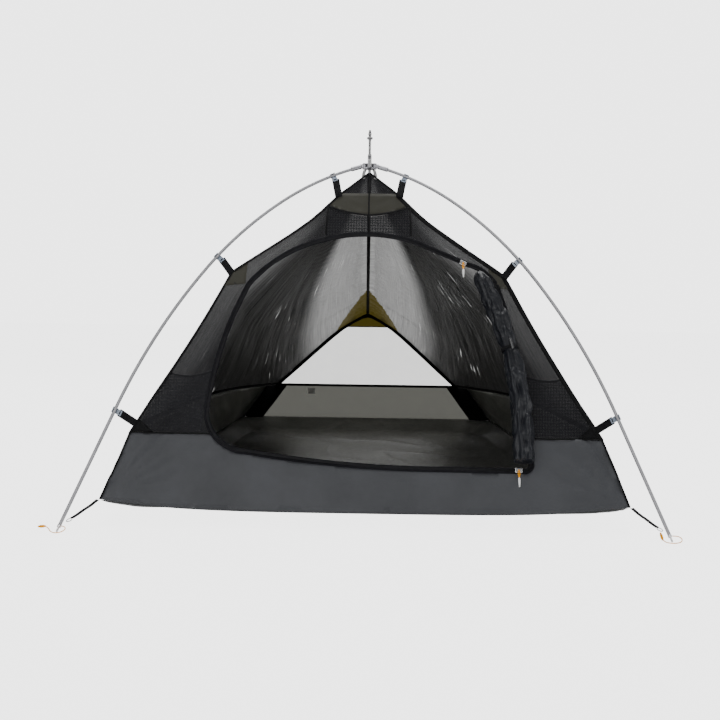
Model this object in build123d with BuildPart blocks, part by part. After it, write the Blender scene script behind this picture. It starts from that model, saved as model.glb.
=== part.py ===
from build123d import *
from math import atan2, cos, degrees, hypot, radians, sin
import os

os.makedirs("parts", exist_ok=True)

# Frame of the part: origin on the ground under the middle of the floor, +Y to the rear, +Z up.
# Outlines on a leaning wall are given as (x, height above ground).

# Aluminium poles
pole_r = 4.25
pole_bore_r = 3.65
ferrule_r = 3.60
ferrule_bore_r = 2.90
shock_cord_r = 1.30
engagement = 60
end_plug = 15
joint_gap = 0.1

# Hubs: centre (y, z), tilt of the plates about X, spacing of the swivel pins
front_hub_at = (-710, 942)
rear_hub_at = (930, 575)
front_hub_tilt = 8
rear_hub_tilt = -5
front_pin_x = 14
rear_pin_x = 11
pin_r = 2.0
pin_clearance = 0.05
plate_gap = 10
plate_thickness = 3
plate_r = 6.0
barrel_r = 6.3
barrel_depth = 22
tongue_play = 0.3

# Lean of each sloping plane along Y, per unit of height, and its y on the ground
front_hoop = (-1189, 0.5085)
rear_hoop = (1189.9, -0.452)
front_wall = (-1115.7, 0.428)
rear_wall_plane = (1099.8, -0.2714)

# Pole tips
tip_pin_r = 2.5
tip_collar_r = 4.8
tip_collar_length = 6
tip_pin_length = 10

# Brow pole, forward of the front hub
brow_rise = 10
brow_pole_r = 3.5
socket_r = 5.5
socket_start = 16
socket_end = 85
brow_insertion = 60
brow_tip = 285
brow_pin_r = 3.0
brow_pin_length = 10

# Pole clips: gap round the pole, wall of the hook, width along the pole
clip_gap = 0.3
clip_wall = 2.2
mouth_flare = 0.5
clip_width = 14
tab_reach = 20
tab_thickness = 3
webbing_width = 16
webbing_thickness = 1.4

# Fabric, drawn thicker than cloth so that each panel is a solid
cloth = 1.0
seam_gap = 0.6

# Door zip
chain_width = 6
chain_thickness = 1.6
slider_size = (13, 18, 7)
slider_play = 0.3
pull_length = 46
pull_r = 2.5


def leaning(lean_plane, side=1):
    """Sloping plane across the tent. Local X is +X on side 1 and -X on side -1, local Y runs up it."""
    foot_y, lean = lean_plane
    across = Vector(side, 0, 0)
    return Plane(origin=(0, foot_y, 0), x_dir=across, z_dir=across.cross(Vector(0, lean, 1)))


def on_slope(lean_plane, points):
    """(x, height) pairs as local coordinates of a sloping plane."""
    return [(x, height * hypot(1, lean_plane[1])) for x, height in points]


def hub_plane(at, tilt):
    """Plane of a hub's plates: local Y points to the rear, local Z up along the swivel pins."""
    turn = radians(tilt)
    return Plane(origin=(0, *at), x_dir=(1, 0, 0), z_dir=(0, sin(turn), cos(turn)))


def save(part, name):
    part.part.label = name
    export_step(part.part, f"parts/{name}.step")


# ---------------------------------------------------------------- pole centre lines
# A pole is (plane, start, heading below local X in degrees, arcs as (radius, turn in degrees)).
# It bends down through its arcs in turn and ends in a straight stretch.


def arcs_length(pole):
    return sum(radius * radians(turn) for radius, turn in pole[3])


def station(pole, distance):
    """Local x, local y and heading in radians at a distance from the hub end."""
    (x, y), heading = pole[1], radians(pole[2])
    for radius, turn in pole[3]:
        swept = min(distance / radius, radians(turn))
        x += radius * (sin(heading + swept) - sin(heading))
        y -= radius * (cos(heading) - cos(heading + swept))
        heading += swept
        distance -= radius * swept
    return x + distance * cos(heading), y - distance * sin(heading), heading


def place(pole, distance):
    """Point of the centre line in space."""
    x, y, _ = station(pole, distance)
    return pole[0].from_local_coords(Vector(x, y, 0))


def direction(pole, distance):
    """Unit vector along the centre line, away from the hub."""
    heading = station(pole, distance)[2]
    return pole[0].x_dir * cos(heading) - pole[0].y_dir * sin(heading)


def cut_at(pole, distance):
    """Plane square to the pole, facing away from the hub."""
    return Plane(origin=place(pole, distance), z_dir=direction(pole, distance))


def length_to(pole, height):
    """Distance at which the straight stretch reaches a local height."""
    bend = arcs_length(pole)
    _, y, heading = station(pole, bend)
    return bend + (y - height) / sin(heading)


def centre_line(pole, near, far):
    bends = [arcs_length((*pole[:3], pole[3][: i + 1])) for i in range(len(pole[3]))]
    stops = [near, *(bend for bend in bends if near < bend < far), far]
    with BuildLine() as line:
        for start, end in zip(stops, stops[1:]):
            if start < bends[-1] - 1e-6:
                ThreePointArc(place(pole, start), place(pole, (start + end) / 2), place(pole, end))
            else:
                Line(place(pole, start), place(pole, end))
    return line.wire()


def swept_pipe(pole, spans, outer, inner=0):
    """Round pipe or rod along each (near, far) span of a pole."""
    with BuildPart() as pipe:
        for near, far in spans:
            with BuildSketch(cut_at(pole, near)):
                Circle(outer)
                if inner:
                    Circle(inner, mode=Mode.SUBTRACT)
            sweep(path=centre_line(pole, near, far))
    return pipe


def sections(stops):
    """Spans of the pole sections between joints, each a hair short of the next."""
    return [(start, end - joint_gap) for start, end in zip(stops, stops[1:])]


front_legs = {
    name: (leaning(front_hoop, side), (30, 1053), 18.5, ((660, 20.5), (970, 17), (1680, 15.5)))
    for name, side in (("left", -1), ("right", 1))
}
rear_legs = {
    name: (leaning(rear_hoop, side), (28, 624.5), 27, ((1240, 17), (850, 13)))
    for name, side in (("left", -1), ("right", 1))
}
ridge = (Plane.YZ, (-692, 941), 2.4, ((4655, 20.4),))
ridge_length = arcs_length(ridge)

foot_section = {"front": 275, "rear": 250}
hoops = {"front": (front_legs, front_hoop), "rear": (rear_legs, rear_hoop)}
leg_length = {
    end: length_to(legs["right"], tip_pin_r * hypot(1, hoop[1])) for end, (legs, hoop) in hoops.items()
}
foot_start = {end: leg_length[end] - foot_section[end] for end in hoops}
pole_end = {end: leg_length[end] - tip_pin_length - tip_collar_length for end in hoops}
front_middle_joint = foot_start["front"] / 2

# ---------------------------------------------------------------- leg poles, ferrules, cords, tips

for end, (legs, _) in hoops.items():
    joints = ([front_middle_joint] if end == "front" else []) + [foot_start[end]]
    for name, leg in legs.items():
        save(swept_pipe(leg, sections([0, *joints]), pole_r, pole_bore_r), f"{end}_{name}_pole_upper")
        foot = swept_pipe(leg, [(foot_start[end], pole_end[end])], pole_r, pole_bore_r)
        save(foot, f"{end}_{name}_pole_foot")
        sleeves = [(joint - engagement, joint + engagement) for joint in joints]
        save(swept_pipe(leg, sleeves, ferrule_r, ferrule_bore_r), f"{end}_{name}_ferrules")
        cord = swept_pipe(leg, [(end_plug, foot_start[end] + engagement)], shock_cord_r)
        save(cord, f"{end}_{name}_shock_cord")

        # tip: plug in the pole, collar, and a round-ended pin that stands on the ground
        with BuildPart() as tip:
            with BuildSketch(cut_at(leg, pole_end[end] - end_plug)):
                Circle(pole_bore_r)
            extrude(amount=end_plug)
            with BuildSketch(cut_at(leg, pole_end[end])):
                Circle(tip_collar_r)
            extrude(amount=tip_collar_length)
            with BuildSketch(cut_at(leg, pole_end[end] + tip_collar_length)):
                Circle(tip_pin_r)
            extrude(amount=tip_pin_length)
            with Locations(place(leg, leg_length[end])):
                Sphere(tip_pin_r)
        save(tip, f"{end}_{name}_tip")

# ---------------------------------------------------------------- ridge pole, in three sections

ridge_stops = [ridge_length * i / 3 for i in range(4)]
save(swept_pipe(ridge, sections(ridge_stops), pole_r, pole_bore_r), "ridge_pole")
ridge_sleeves = [(stop - engagement, stop + engagement) for stop in ridge_stops[1:3]]
save(swept_pipe(ridge, ridge_sleeves, ferrule_r, ferrule_bore_r), "ridge_ferrules")
save(swept_pipe(ridge, [(end_plug, ridge_length - end_plug)], shock_cord_r), "ridge_shock_cord")

# ---------------------------------------------------------------- hubs, pins and swivels

front_hub_plane = hub_plane(front_hub_at, front_hub_tilt)
rear_hub_plane = hub_plane(rear_hub_at, rear_hub_tilt)
plate_z = plate_gap / 2
back_wall = 9
socket_overlap = 22


def hub(plane, pin_x, socket_plane, ridge_side, bosses=()):
    """Two plates with a web on the ridge side and a socket that holds the ridge pole's end."""
    with BuildPart() as body:
        for base in (plate_z, -plate_z - plate_thickness):
            with BuildSketch(plane.offset(base)):
                SlotCenterToCenter(2 * pin_x, 2 * plate_r)
                with Locations((0, ridge_side * back_wall / 2)):
                    Rectangle(2 * pin_x, back_wall)
            extrude(amount=plate_thickness)
        fillet(body.faces().sort_by(Axis.Z)[-1].edges(), 1.4)
        with BuildSketch(plane.offset(-plate_z)):
            with Locations((0, ridge_side * (plate_r + back_wall) / 2)):
                Rectangle(2 * pin_x, back_wall - plate_r)
        extrude(amount=plate_gap)
        with BuildSketch(socket_plane):
            Circle(barrel_r)
        extrude(amount=socket_overlap + end_plug)
        with BuildSketch(socket_plane.offset(end_plug)):
            Circle(pole_r + pin_clearance)
        extrude(amount=socket_overlap, mode=Mode.SUBTRACT)
        for boss in bosses:
            with BuildSketch(boss.offset(plate_r)):
                Rectangle(2 * socket_r, plate_gap + 2 * plate_thickness)
            extrude(amount=socket_start - plate_r)
        with BuildSketch(plane.offset(-plate_z - plate_thickness)):
            with Locations((pin_x, 0), (-pin_x, 0)):
                Circle(pin_r)
        extrude(amount=plate_gap + 2 * plate_thickness, mode=Mode.SUBTRACT)
        # the swivels turn between the plates, so nothing stands there
        with BuildSketch(plane.offset(-plate_z)):
            with Locations((pin_x, 0), (-pin_x, 0)):
                Circle(plate_r + tongue_play)
        extrude(amount=plate_gap, mode=Mode.SUBTRACT)
    return body


front_socket = Plane(origin=place(ridge, 0), z_dir=direction(ridge, 0)).offset(-end_plug)
rear_socket = Plane(origin=place(ridge, ridge_length), z_dir=-direction(ridge, ridge_length))
save(hub(rear_hub_plane, rear_pin_x, rear_socket.offset(-end_plug), -1), "rear_hub")

brow_turn = radians(brow_rise)
brow_plane = Plane(origin=(0, *front_hub_at), x_dir=(1, 0, 0), z_dir=(0, -cos(brow_turn), sin(brow_turn)))
save(hub(front_hub_plane, front_pin_x, front_socket, 1, [brow_plane]), "front_hub")

with BuildPart() as hub_pins:
    for plane, pin_x in ((front_hub_plane, front_pin_x), (rear_hub_plane, rear_pin_x)):
        with BuildSketch(plane.offset(-plate_z - plate_thickness)):
            with Locations((pin_x, 0), (-pin_x, 0)):
                Circle(pin_r)
        extrude(amount=plate_gap + 2 * plate_thickness)
save(hub_pins, "hub_pins")


def swivel(leg, plane, pin_x, side):
    """Tongue between the hub plates, on its pin, with a barrel that holds the leg's upper end."""
    reach = 12.5
    cap = 7
    with BuildPart() as arm:
        with BuildSketch(plane.offset(-plate_z + tongue_play)):
            with Locations((side * pin_x, 0)):
                Circle(plate_r - 0.2)
            with Locations((side * (pin_x + reach / 2), 0)):
                Rectangle(reach, 8)
        extrude(amount=plate_gap - 2 * tongue_play)
        with BuildSketch(cut_at(leg, 0).offset(-cap)):
            Circle(barrel_r)
        extrude(amount=cap + barrel_depth)
        with BuildSketch(cut_at(leg, 0)):
            Circle(pole_r)
        sweep(path=centre_line(leg, 0, 2 * barrel_depth), mode=Mode.SUBTRACT)
        with BuildSketch(plane.offset(-plate_gap)):
            with Locations((side * pin_x, 0)):
                Circle(pin_r + pin_clearance)
        extrude(amount=2 * plate_gap, mode=Mode.SUBTRACT)
    return arm


for name, side in (("left", -1), ("right", 1)):
    save(swivel(front_legs[name], front_hub_plane, front_pin_x, side), f"front_{name}_swivel")
    save(swivel(rear_legs[name], rear_hub_plane, rear_pin_x, side), f"rear_{name}_swivel")

# ---------------------------------------------------------------- brow pole and its fittings

with BuildPart() as brow_socket:
    with BuildSketch(brow_plane.offset(socket_start)):
        Circle(socket_r)
    extrude(amount=socket_end - socket_start)
    with BuildSketch(brow_plane.offset(socket_end - brow_insertion)):
        Circle(brow_pole_r + pin_clearance)
    extrude(amount=brow_insertion, mode=Mode.SUBTRACT)
    # rivet head near the root
    with Locations(brow_plane.offset(socket_start + 5) * Location((0, socket_r, 0))):
        Sphere(2)
save(brow_socket, "brow_socket")

with BuildPart() as brow_pole:
    with BuildSketch(brow_plane.offset(socket_end - brow_insertion)):
        Circle(brow_pole_r)
    extrude(amount=brow_tip - socket_end + brow_insertion)
save(brow_pole, "brow_pole")

with BuildPart() as brow_fittings:
    # stop collar on the socket's mouth, cross-piece with two ears, ring near the tip
    for start, length, radius in ((socket_end, 14, 5.2), (brow_tip - 50, 9, 4.6), (brow_tip - 16, 5, 4.4)):
        with BuildSketch(brow_plane.offset(start)):
            Circle(radius)
            Circle(brow_pole_r, mode=Mode.SUBTRACT)
        extrude(amount=length)
    with BuildSketch(brow_plane.offset(brow_tip - 48)):
        SlotOverall(15, 5)
        Circle(brow_pole_r, mode=Mode.SUBTRACT)
    extrude(amount=5)
    # end plug, its pin standing out of the pole
    with BuildSketch(brow_plane.offset(brow_tip)):
        Circle(brow_pin_r)
    extrude(amount=brow_pin_length)
save(brow_fittings, "brow_fittings")

# ---------------------------------------------------------------- fabric body

front_edge = [(601, 224), (452, 475), (367, 639), (165, 781), (82, 860), (3, 922)]
front_corner = [(643, 40), (660, 63), (602, 222)]
sill_height = 222

front_plane = leaning(front_wall)
rear_plane = leaning(rear_wall_plane)


def mirrored(points):
    """Closed outline from its right half, given from the bottom up."""
    return [*points, *((-x, y) for x, y in reversed(points))]


def door_line(grow):
    """D-shaped door seam, in the front plane's own x and y: straight where the sliders run."""
    top = on_slope(front_wall, [(-118, 729), (0, 745), (130, 723)])
    top_corner = on_slope(front_wall, [(270, 664), (318, 640), (345, 604)])
    hinge_side = on_slope(front_wall, [(345, 604), (394, 400), (408, 200)])
    low_corner = on_slope(front_wall, [(416, 165), (413, 150), (400, 145)])
    sill = on_slope(front_wall, [(220, 147), (-60, 156), (-300, 182)])
    far_corner = on_slope(front_wall, [(-300, 182), (-381, 217), (-406, 286)])
    far_side = on_slope(front_wall, [(-406, 286), (-376, 450), (-317, 604)])
    far_top = on_slope(front_wall, [(-317, 604), (-228, 683), (-118, 729)])
    with BuildSketch() as face:
        with BuildLine():
            for curve in (top, top_corner, hinge_side, low_corner, sill, far_corner, far_side, far_top):
                ThreePointArc(*curve)
            Line(top[2], top_corner[0])
            Line(hinge_side[2], low_corner[0])
            Line(low_corner[2], sill[0])
        make_face()
        offset(amount=grow)
    return face.sketch_local


door_cut = door_line(chain_width / 2 + seam_gap)


def front_panel(points, window):
    """Part of the front wall inside a window (x low, x high, z low, z high), clear of the doorway."""
    x_low, x_high, z_low, z_high = window
    corners = [(x_low, z_low), (x_high, z_low), (x_high, z_high), (x_low, z_high)]
    with BuildPart() as panel:
        with BuildSketch(front_plane):
            with BuildLine():
                Polyline(*on_slope(front_wall, points), close=True)
            make_face()
            with BuildLine():
                Polyline(*on_slope(front_wall, corners), close=True)
            make_face(mode=Mode.INTERSECT)
            add(door_cut, mode=Mode.SUBTRACT)
        extrude(amount=cloth)
    return panel


wall_outline = mirrored(front_edge)
top_split = 668
save(front_panel(mirrored(front_corner), (-700, 700, 0, sill_height)), "front_sill")
save(front_panel(wall_outline, (-650, -seam_gap, 0, top_split)), "front_mesh_left")
save(front_panel(wall_outline, (seam_gap, 650, 0, top_split)), "front_mesh_right")
save(front_panel(wall_outline, (-650, 650, top_split + seam_gap, 950)), "front_mesh_top")

with BuildPart() as door_zip:
    with BuildSketch(front_plane):
        add(door_line(chain_width / 2))
        add(door_line(-chain_width / 2), mode=Mode.SUBTRACT)
    extrude(amount=chain_thickness)
save(door_zip, "door_zip")

# Side stations: (plane, canopy edge from the bathtub up to the ridge, bathtub wall from the rim up)
canopy_mid = [(597, 207), (505, 345), (410, 470), (240, 605), (125, 682), (3, 741)]
canopy_rear_mid = [(540, 195), (430, 300), (320, 400), (190, 490), (100, 550), (3, 606)]
canopy_rear = [(402, 190), (318, 268), (236, 344), (154, 417), (98, 457), (3, 512)]
upright = (0, 0)


def cross_plane(y, side):
    return Plane(origin=(0, y, 0), x_dir=(side, 0, 0), z_dir=(0, -side, 0))


def stations(side):
    return [
        (leaning(front_wall, side).offset(-side * 2), front_wall, front_edge, front_corner[1:]),
        (cross_plane(120, side), upright, canopy_mid, [(610, 39), (598, 205)]),
        (cross_plane(700, side), upright, canopy_rear_mid, [(575, 39), (541, 193)]),
        (leaning(rear_wall_plane, side), rear_wall_plane, canopy_rear, [(554, 39), (440, 188)]),
    ]


def strip(plane, slope, points):
    """Thin band along an open outline, drawn on a cross plane."""
    with BuildSketch(plane) as face:
        with BuildLine():
            Polyline(*on_slope(slope, points))
            offset(amount=cloth, side=Side.LEFT, kind=Kind.INTERSECTION)
        make_face()
    return face.sketch.face()


for name, side in (("left", -1), ("right", 1)):
    with BuildPart() as side_wall:
        loft([strip(plane, slope, canopy) for plane, slope, canopy, _ in stations(side)], ruled=True)
    save(side_wall, f"side_wall_{name}")
    with BuildPart() as side_bathtub:
        loft([strip(plane, slope, wall) for plane, slope, _, wall in stations(side)], ruled=True)
    save(side_bathtub, f"side_bathtub_{name}")

with BuildPart() as rear_bathtub:
    with BuildSketch(rear_plane.offset(-2)):
        with BuildLine():
            Polyline(*on_slope(rear_wall_plane, mirrored([(550, 40), (436, 188)])), close=True)
        make_face()
    extrude(amount=-cloth)
save(rear_bathtub, "rear_bathtub")

with BuildPart() as rear_wall:
    with BuildSketch(rear_plane.offset(-2)):
        with BuildLine():
            Polyline(*on_slope(rear_wall_plane, mirrored([(398, 190), (98, 455), (6, 508)])), close=True)
        make_face()
    extrude(amount=-cloth)
save(rear_wall, "rear_wall")

# Floor: flat in the middle, lifted to a rim all round by the foot straps
floor_rest = [(540, -870), (535, 120), (505, 700), (455, 930)]
floor_rim = [(638, -1095), (607, 120), (572, 700), (550, 1085)]
rim_height = 38

with BuildPart() as floor:
    for lift, mode in ((0, Mode.ADD), (cloth, Mode.SUBTRACT)):
        for outline, height in ((floor_rest, lift), (floor_rim, rim_height + lift)):
            with BuildSketch(Plane.XY.offset(height)):
                with BuildLine():
                    Polyline(*mirrored(outline), close=True)
                make_face()
        loft(mode=mode)
save(floor, "floor")

# ---------------------------------------------------------------- pockets, empty and lying flat

inside = front_plane.offset(-3)


def pocket_face(points):
    with BuildSketch(inside) as face:
        with BuildLine():
            Polyline(*on_slope(front_wall, points), close=True)
        make_face()
    return face.sketch


with BuildPart() as overhead_pocket:
    extrude(pocket_face(mirrored([(114, 752), (150, 785), (114, 824)])), amount=-cloth)
save(overhead_pocket, "overhead_pocket")

with BuildPart() as corner_pockets:
    for side in (-1, 1):
        corners = [(side * x, z) for x, z in ((420, 228), (585, 228), (512, 372), (404, 378))]
        extrude(pocket_face(corners), amount=-side * cloth)
save(corner_pockets, "corner_pockets")

# ---------------------------------------------------------------- rolled door and its toggle

roll_r = 24
roll_out = roll_r + 4
roll_plane = front_plane.offset(roll_out)
roll_points = on_slope(front_wall, [(292, 634), (372, 430), (396, 160)])

with BuildPart() as door_roll:
    with BuildLine(roll_plane) as roll_line:
        ThreePointArc(*roll_points)
    with BuildSketch(Plane(origin=roll_line.line @ 0, z_dir=roll_line.line % 0)):
        Circle(roll_r)
    sweep(path=roll_line.wire())
save(door_roll, "door_roll")

tie_at = 0.43
tie_plane = Plane(
    origin=roll_line.line @ tie_at, x_dir=front_plane.z_dir, z_dir=roll_line.line % tie_at
)
with BuildPart() as door_tie:
    with BuildSketch(tie_plane):
        Circle(roll_r + 2.1)
        Circle(roll_r + 0.6, mode=Mode.SUBTRACT)
    extrude(amount=4, both=True)
save(door_tie, "door_tie")

toggle_r = 4
toggle_hang = roll_r + 3
with BuildPart() as door_toggle:
    with BuildSketch(Plane(origin=tie_plane.origin, x_dir=tie_plane.z_dir, z_dir=tie_plane.x_dir)
                     .offset(toggle_hang)):
        Circle(1.5)
    extrude(amount=5 + toggle_r)
    with BuildSketch(Plane(origin=tie_plane.origin + tie_plane.x_dir * (toggle_hang + 5 + toggle_r),
                           z_dir=tie_plane.z_dir)):
        Circle(toggle_r)
    extrude(amount=14, both=True)
save(door_toggle, "door_toggle")

# ---------------------------------------------------------------- zip sliders and pulls


def on_door(x, height, out=0):
    x_local, y_local = on_slope(front_wall, [(x, height)])[0]
    return front_plane.from_local_coords(Vector(x_local, y_local, out))


def slider(start, run_to, wall_side):
    """Two plates joined on the doorway side of the chain, open to the wall on the other side."""
    along = (run_to - start).normalized()
    plane = Plane(origin=start, x_dir=along.cross(front_plane.z_dir), z_dir=front_plane.z_dir)
    width, length, height = slider_size
    with BuildPart() as block:
        with BuildSketch(plane.offset((chain_thickness - height) / 2)):
            RectangleRounded(width, length, 3)
        extrude(amount=height)
        with BuildSketch(plane.offset(-slider_play)):
            with Locations((wall_side * width / 2, 0)):
                Rectangle(width + chain_width + 2 * slider_play, 2 * length)
        extrude(amount=chain_thickness + 2 * slider_play, mode=Mode.SUBTRACT)
    return block


def pull(start):
    """Cord and tapered tip that lie down the slope of the wall, in front of a slider."""
    down = -front_plane.y_dir
    root = start + front_plane.z_dir * (slider_size[2] / 2 + chain_thickness + pull_r)
    with BuildPart() as tag:
        with BuildSketch(Plane(origin=root, z_dir=down)):
            Circle(1.6)
        extrude(amount=pull_length / 2)
        for drop, radius in ((pull_length / 2 - 1, pull_r), (pull_length, pull_r * 0.6)):
            with BuildSketch(Plane(origin=root + down * drop, z_dir=down)):
                Circle(radius)
        loft()
    return tag


top_run = (on_door(256, 669.9), on_door(136, 720.5))
low_run = (on_door(386, 145.2), on_door(254, 146.6))
for name, run, wall_side in (("top", top_run, 1), ("bottom", low_run, -1)):
    save(slider(*run, wall_side), f"zip_slider_{name}")
    save(pull(run[0]), f"zip_pull_{name}")

# ---------------------------------------------------------------- pole clips and their webbing


def hook(point, along, toward, leaving):
    """Open hook round a pole with a slotted tab; its mouth faces the way the pole leaves."""
    frame = Plane(origin=point, x_dir=toward, z_dir=along)
    grip_r = pole_r + clip_gap
    reach_out = grip_r + mouth_flare
    mouth = atan2(leaving.dot(frame.y_dir), leaving.dot(frame.x_dir))
    slot_plane = Plane(origin=point + toward * (tab_reach - 5), x_dir=along, z_dir=frame.y_dir)
    with BuildPart() as clip:
        with BuildSketch(frame):
            Circle(grip_r + clip_wall)
            with Locations(((tab_reach + grip_r) / 2, 0)):
                Rectangle(tab_reach - grip_r, tab_thickness)
            Circle(grip_r, mode=Mode.SUBTRACT)
            with Locations((reach_out * cos(mouth), reach_out * sin(mouth))):
                Rectangle(2 * reach_out, 2 * reach_out, rotation=degrees(mouth), mode=Mode.SUBTRACT)
        extrude(amount=clip_width / 2, both=True)
        with BuildSketch(slot_plane):
            Rectangle(clip_width - 5, 3)
        extrude(amount=tab_thickness, both=True, mode=Mode.SUBTRACT)
    return clip.part


def square_to(vector, axis):
    """Unit vector: the part of a vector that is square to an axis."""
    return (vector - axis * vector.dot(axis)).normalized()


# (distance along the leg, where the webbing meets the seam)
front_clips = [(77, (86, 862)), (482, (371, 640)), (985, (590, 246))]
rear_clips = [(64, (62, 494))]
seam_standoff = 4
clip_list = []
for name, side in (("left", -1), ("right", 1)):
    for legs, hub_at, pin_x, swing, wall, clips in (
        (front_legs, front_hub_plane, front_pin_x, -1, (front_plane, front_wall), front_clips),
        (rear_legs, rear_hub_plane, rear_pin_x, 1, (rear_plane, rear_wall_plane), rear_clips),
    ):
        for distance, seam in clips:
            point = place(legs[name], distance)
            along = direction(legs[name], distance)
            x, y = on_slope(wall[1], [seam])[0]
            end = wall[0].from_local_coords(Vector(side * x, y, 0)) + wall[0].z_dir * seam_standoff
            arm = point - hub_at.from_local_coords(Vector(side * pin_x, 0, 0))
            leaving = square_to(hub_at.z_dir.cross(arm) * side * swing, along)
            clip_list.append((point, along, square_to(end - point, along), leaving, end))

with BuildPart() as clip_straps:
    for point, along, toward, _, end in clip_list:
        start = point + toward * (tab_reach + 0.1)
        with BuildSketch(Plane(origin=start, x_dir=along, z_dir=toward)):
            Rectangle(webbing_width, webbing_thickness)
        extrude(amount=(end - start).length, dir=(end - start).normalized())
save(clip_straps, "clip_straps")

ridge_clip_at = ridge_length * 0.855
ridge_clip_frame = Plane(
    origin=place(ridge, ridge_clip_at), x_dir=(0, 0, -1), z_dir=direction(ridge, ridge_clip_at)
)
with BuildPart() as pole_clips:
    for point, along, toward, leaving, _ in clip_list:
        add(hook(point, along, toward, leaving))
    # ridge clip, snapped down over the ridge pole
    with BuildSketch(ridge_clip_frame):
        Circle(pole_r + clip_wall)
        with Locations((9, 0)):
            Rectangle(12, tab_thickness)
        Circle(pole_r, mode=Mode.SUBTRACT)
        with Locations((-pole_r - mouth_flare, 0)):
            Rectangle(2 * (pole_r + mouth_flare), 2 * (pole_r + mouth_flare), mode=Mode.SUBTRACT)
    extrude(amount=clip_width / 2, both=True)
save(pole_clips, "pole_clips")

# ---------------------------------------------------------------- foot straps, rings and foot cords

strap_width = 10
ring_r = 7
ring_wire_r = 1.1
foot_corners = {"front": Vector(662, -1094, 62), "rear": Vector(556, 1092, 42)}
ring_back = 26

foot_rings = []
with BuildPart() as foot_straps:
    for end, (legs, _) in hoops.items():
        for name, side in (("left", -1), ("right", 1)):
            corner = foot_corners[end]
            start = Vector(side * corner.X, corner.Y, corner.Z)
            run = place(legs[name], leg_length[end] - tip_pin_length) - start
            ring_at = start + run * (1 - (ring_back + ring_r) / run.length)
            foot_rings.append((ring_at, run))
            length = (ring_at - start).length - ring_r - ring_wire_r - 0.2
            with BuildSketch(Plane(origin=start, x_dir=(0, 0, 1), z_dir=run)):
                Rectangle(webbing_thickness, strap_width)
            extrude(amount=length)
save(foot_straps, "foot_straps")

with BuildPart() as rings:
    for ring_at, run in foot_rings:
        with BuildSketch(Plane(origin=ring_at + run.normalized() * ring_r, x_dir=(0, 0, 1),
                               z_dir=run.cross(Vector(0, 0, 1)))):
            Circle(ring_wire_r)
        ring_axis = Axis(ring_at, square_to(Vector(0, 0, 1), run.normalized()))
        revolve(axis=ring_axis, revolution_arc=360)
save(rings, "foot_rings")

# ---------------------------------------------------------------- foot cords, at the front feet

foot_cord_r = 1.1
# Points from the foot's own place on the ground, x outwards from the tent on the right foot
foot_cord_routes = {
    "left": [(9.6, 5.6, 14), (18, 3, 14), (23, -6, 9), (14, -17, 4), (0, -19, 2.2),
             (-12, -14, 5), (-18, -6, 11), (-27, -2, 15), (-38, -1, 14)],
    "right": [(1.8, 5.6, 14), (14, 5, 14.5), (23, -3, 10), (19, -15, 4.5), (6, -20, 2.3),
              (-8, -20, 2.2), (-20, -17, 3.5), (-27, -14, 10), (-30, -13, 19)],
}


def corner_radii(points):
    """Largest arcs that the runs allow: 0.45 of the shorter run at each point."""
    radii = []
    for before, here, after in zip(points, points[1:], points[2:]):
        run_in, run_out = here - before, after - here
        half_turn = radians(run_in.get_angle(run_out) / 2)
        radii.append(0.45 * min(run_in.length, run_out.length) * cos(half_turn) / sin(half_turn))
    return radii


for name, side in (("left", -1), ("right", 1)):
    x_foot, y_foot, _ = place(front_legs[name], leg_length["front"])
    route = [Vector(x_foot + x, y_foot + y, z) for x, y, z in foot_cord_routes[name]]
    radii = corner_radii(route)
    with BuildPart() as foot_cord:
        with BuildLine() as cord_line:
            FilletPolyline(*route, radius=radii)
        with BuildSketch(Plane(origin=route[0], z_dir=route[1] - route[0])):
            Circle(foot_cord_r)
        sweep(path=cord_line.wire())
    length = cord_line.wire().length
    print(f"foot cord {name}: length {length:.1f}, radii", [round(radius, 1) for radius in radii])
    save(foot_cord, f"front_{name}_foot_cord")
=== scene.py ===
import math

import bpy
import numpy as np
from mathutils import Matrix, Vector, noise
from mathutils.geometry import delaunay_2d_cdt


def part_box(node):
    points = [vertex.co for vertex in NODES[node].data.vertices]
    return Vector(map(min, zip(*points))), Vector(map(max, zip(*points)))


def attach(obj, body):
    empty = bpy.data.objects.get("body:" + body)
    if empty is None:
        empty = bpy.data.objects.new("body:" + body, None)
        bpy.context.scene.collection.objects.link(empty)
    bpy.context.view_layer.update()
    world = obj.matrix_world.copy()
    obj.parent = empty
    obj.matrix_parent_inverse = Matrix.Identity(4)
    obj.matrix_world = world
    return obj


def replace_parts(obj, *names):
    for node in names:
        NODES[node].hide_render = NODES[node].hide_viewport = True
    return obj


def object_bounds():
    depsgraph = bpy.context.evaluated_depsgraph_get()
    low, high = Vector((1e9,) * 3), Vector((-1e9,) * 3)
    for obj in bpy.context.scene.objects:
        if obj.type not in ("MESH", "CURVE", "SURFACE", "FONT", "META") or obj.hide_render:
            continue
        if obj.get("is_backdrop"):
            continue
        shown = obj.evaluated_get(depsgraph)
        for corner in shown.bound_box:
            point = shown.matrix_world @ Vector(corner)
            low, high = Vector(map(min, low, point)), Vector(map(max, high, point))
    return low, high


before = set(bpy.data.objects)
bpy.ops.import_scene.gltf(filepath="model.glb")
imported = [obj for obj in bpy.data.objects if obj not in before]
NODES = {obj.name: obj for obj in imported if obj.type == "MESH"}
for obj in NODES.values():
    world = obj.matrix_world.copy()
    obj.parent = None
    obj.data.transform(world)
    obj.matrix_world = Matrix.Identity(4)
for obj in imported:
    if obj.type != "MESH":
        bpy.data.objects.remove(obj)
cad_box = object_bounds()
MM = 0.001

# ---------------------------------------------------------------- camera first

CAMERA_AT = (0.003, -3.690, 0.561)
CAMERA_LENS = 52.8
CAMERA_TILT, CAMERA_YAW, CAMERA_ROLL = 3.11, 0.419, 0.848


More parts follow.
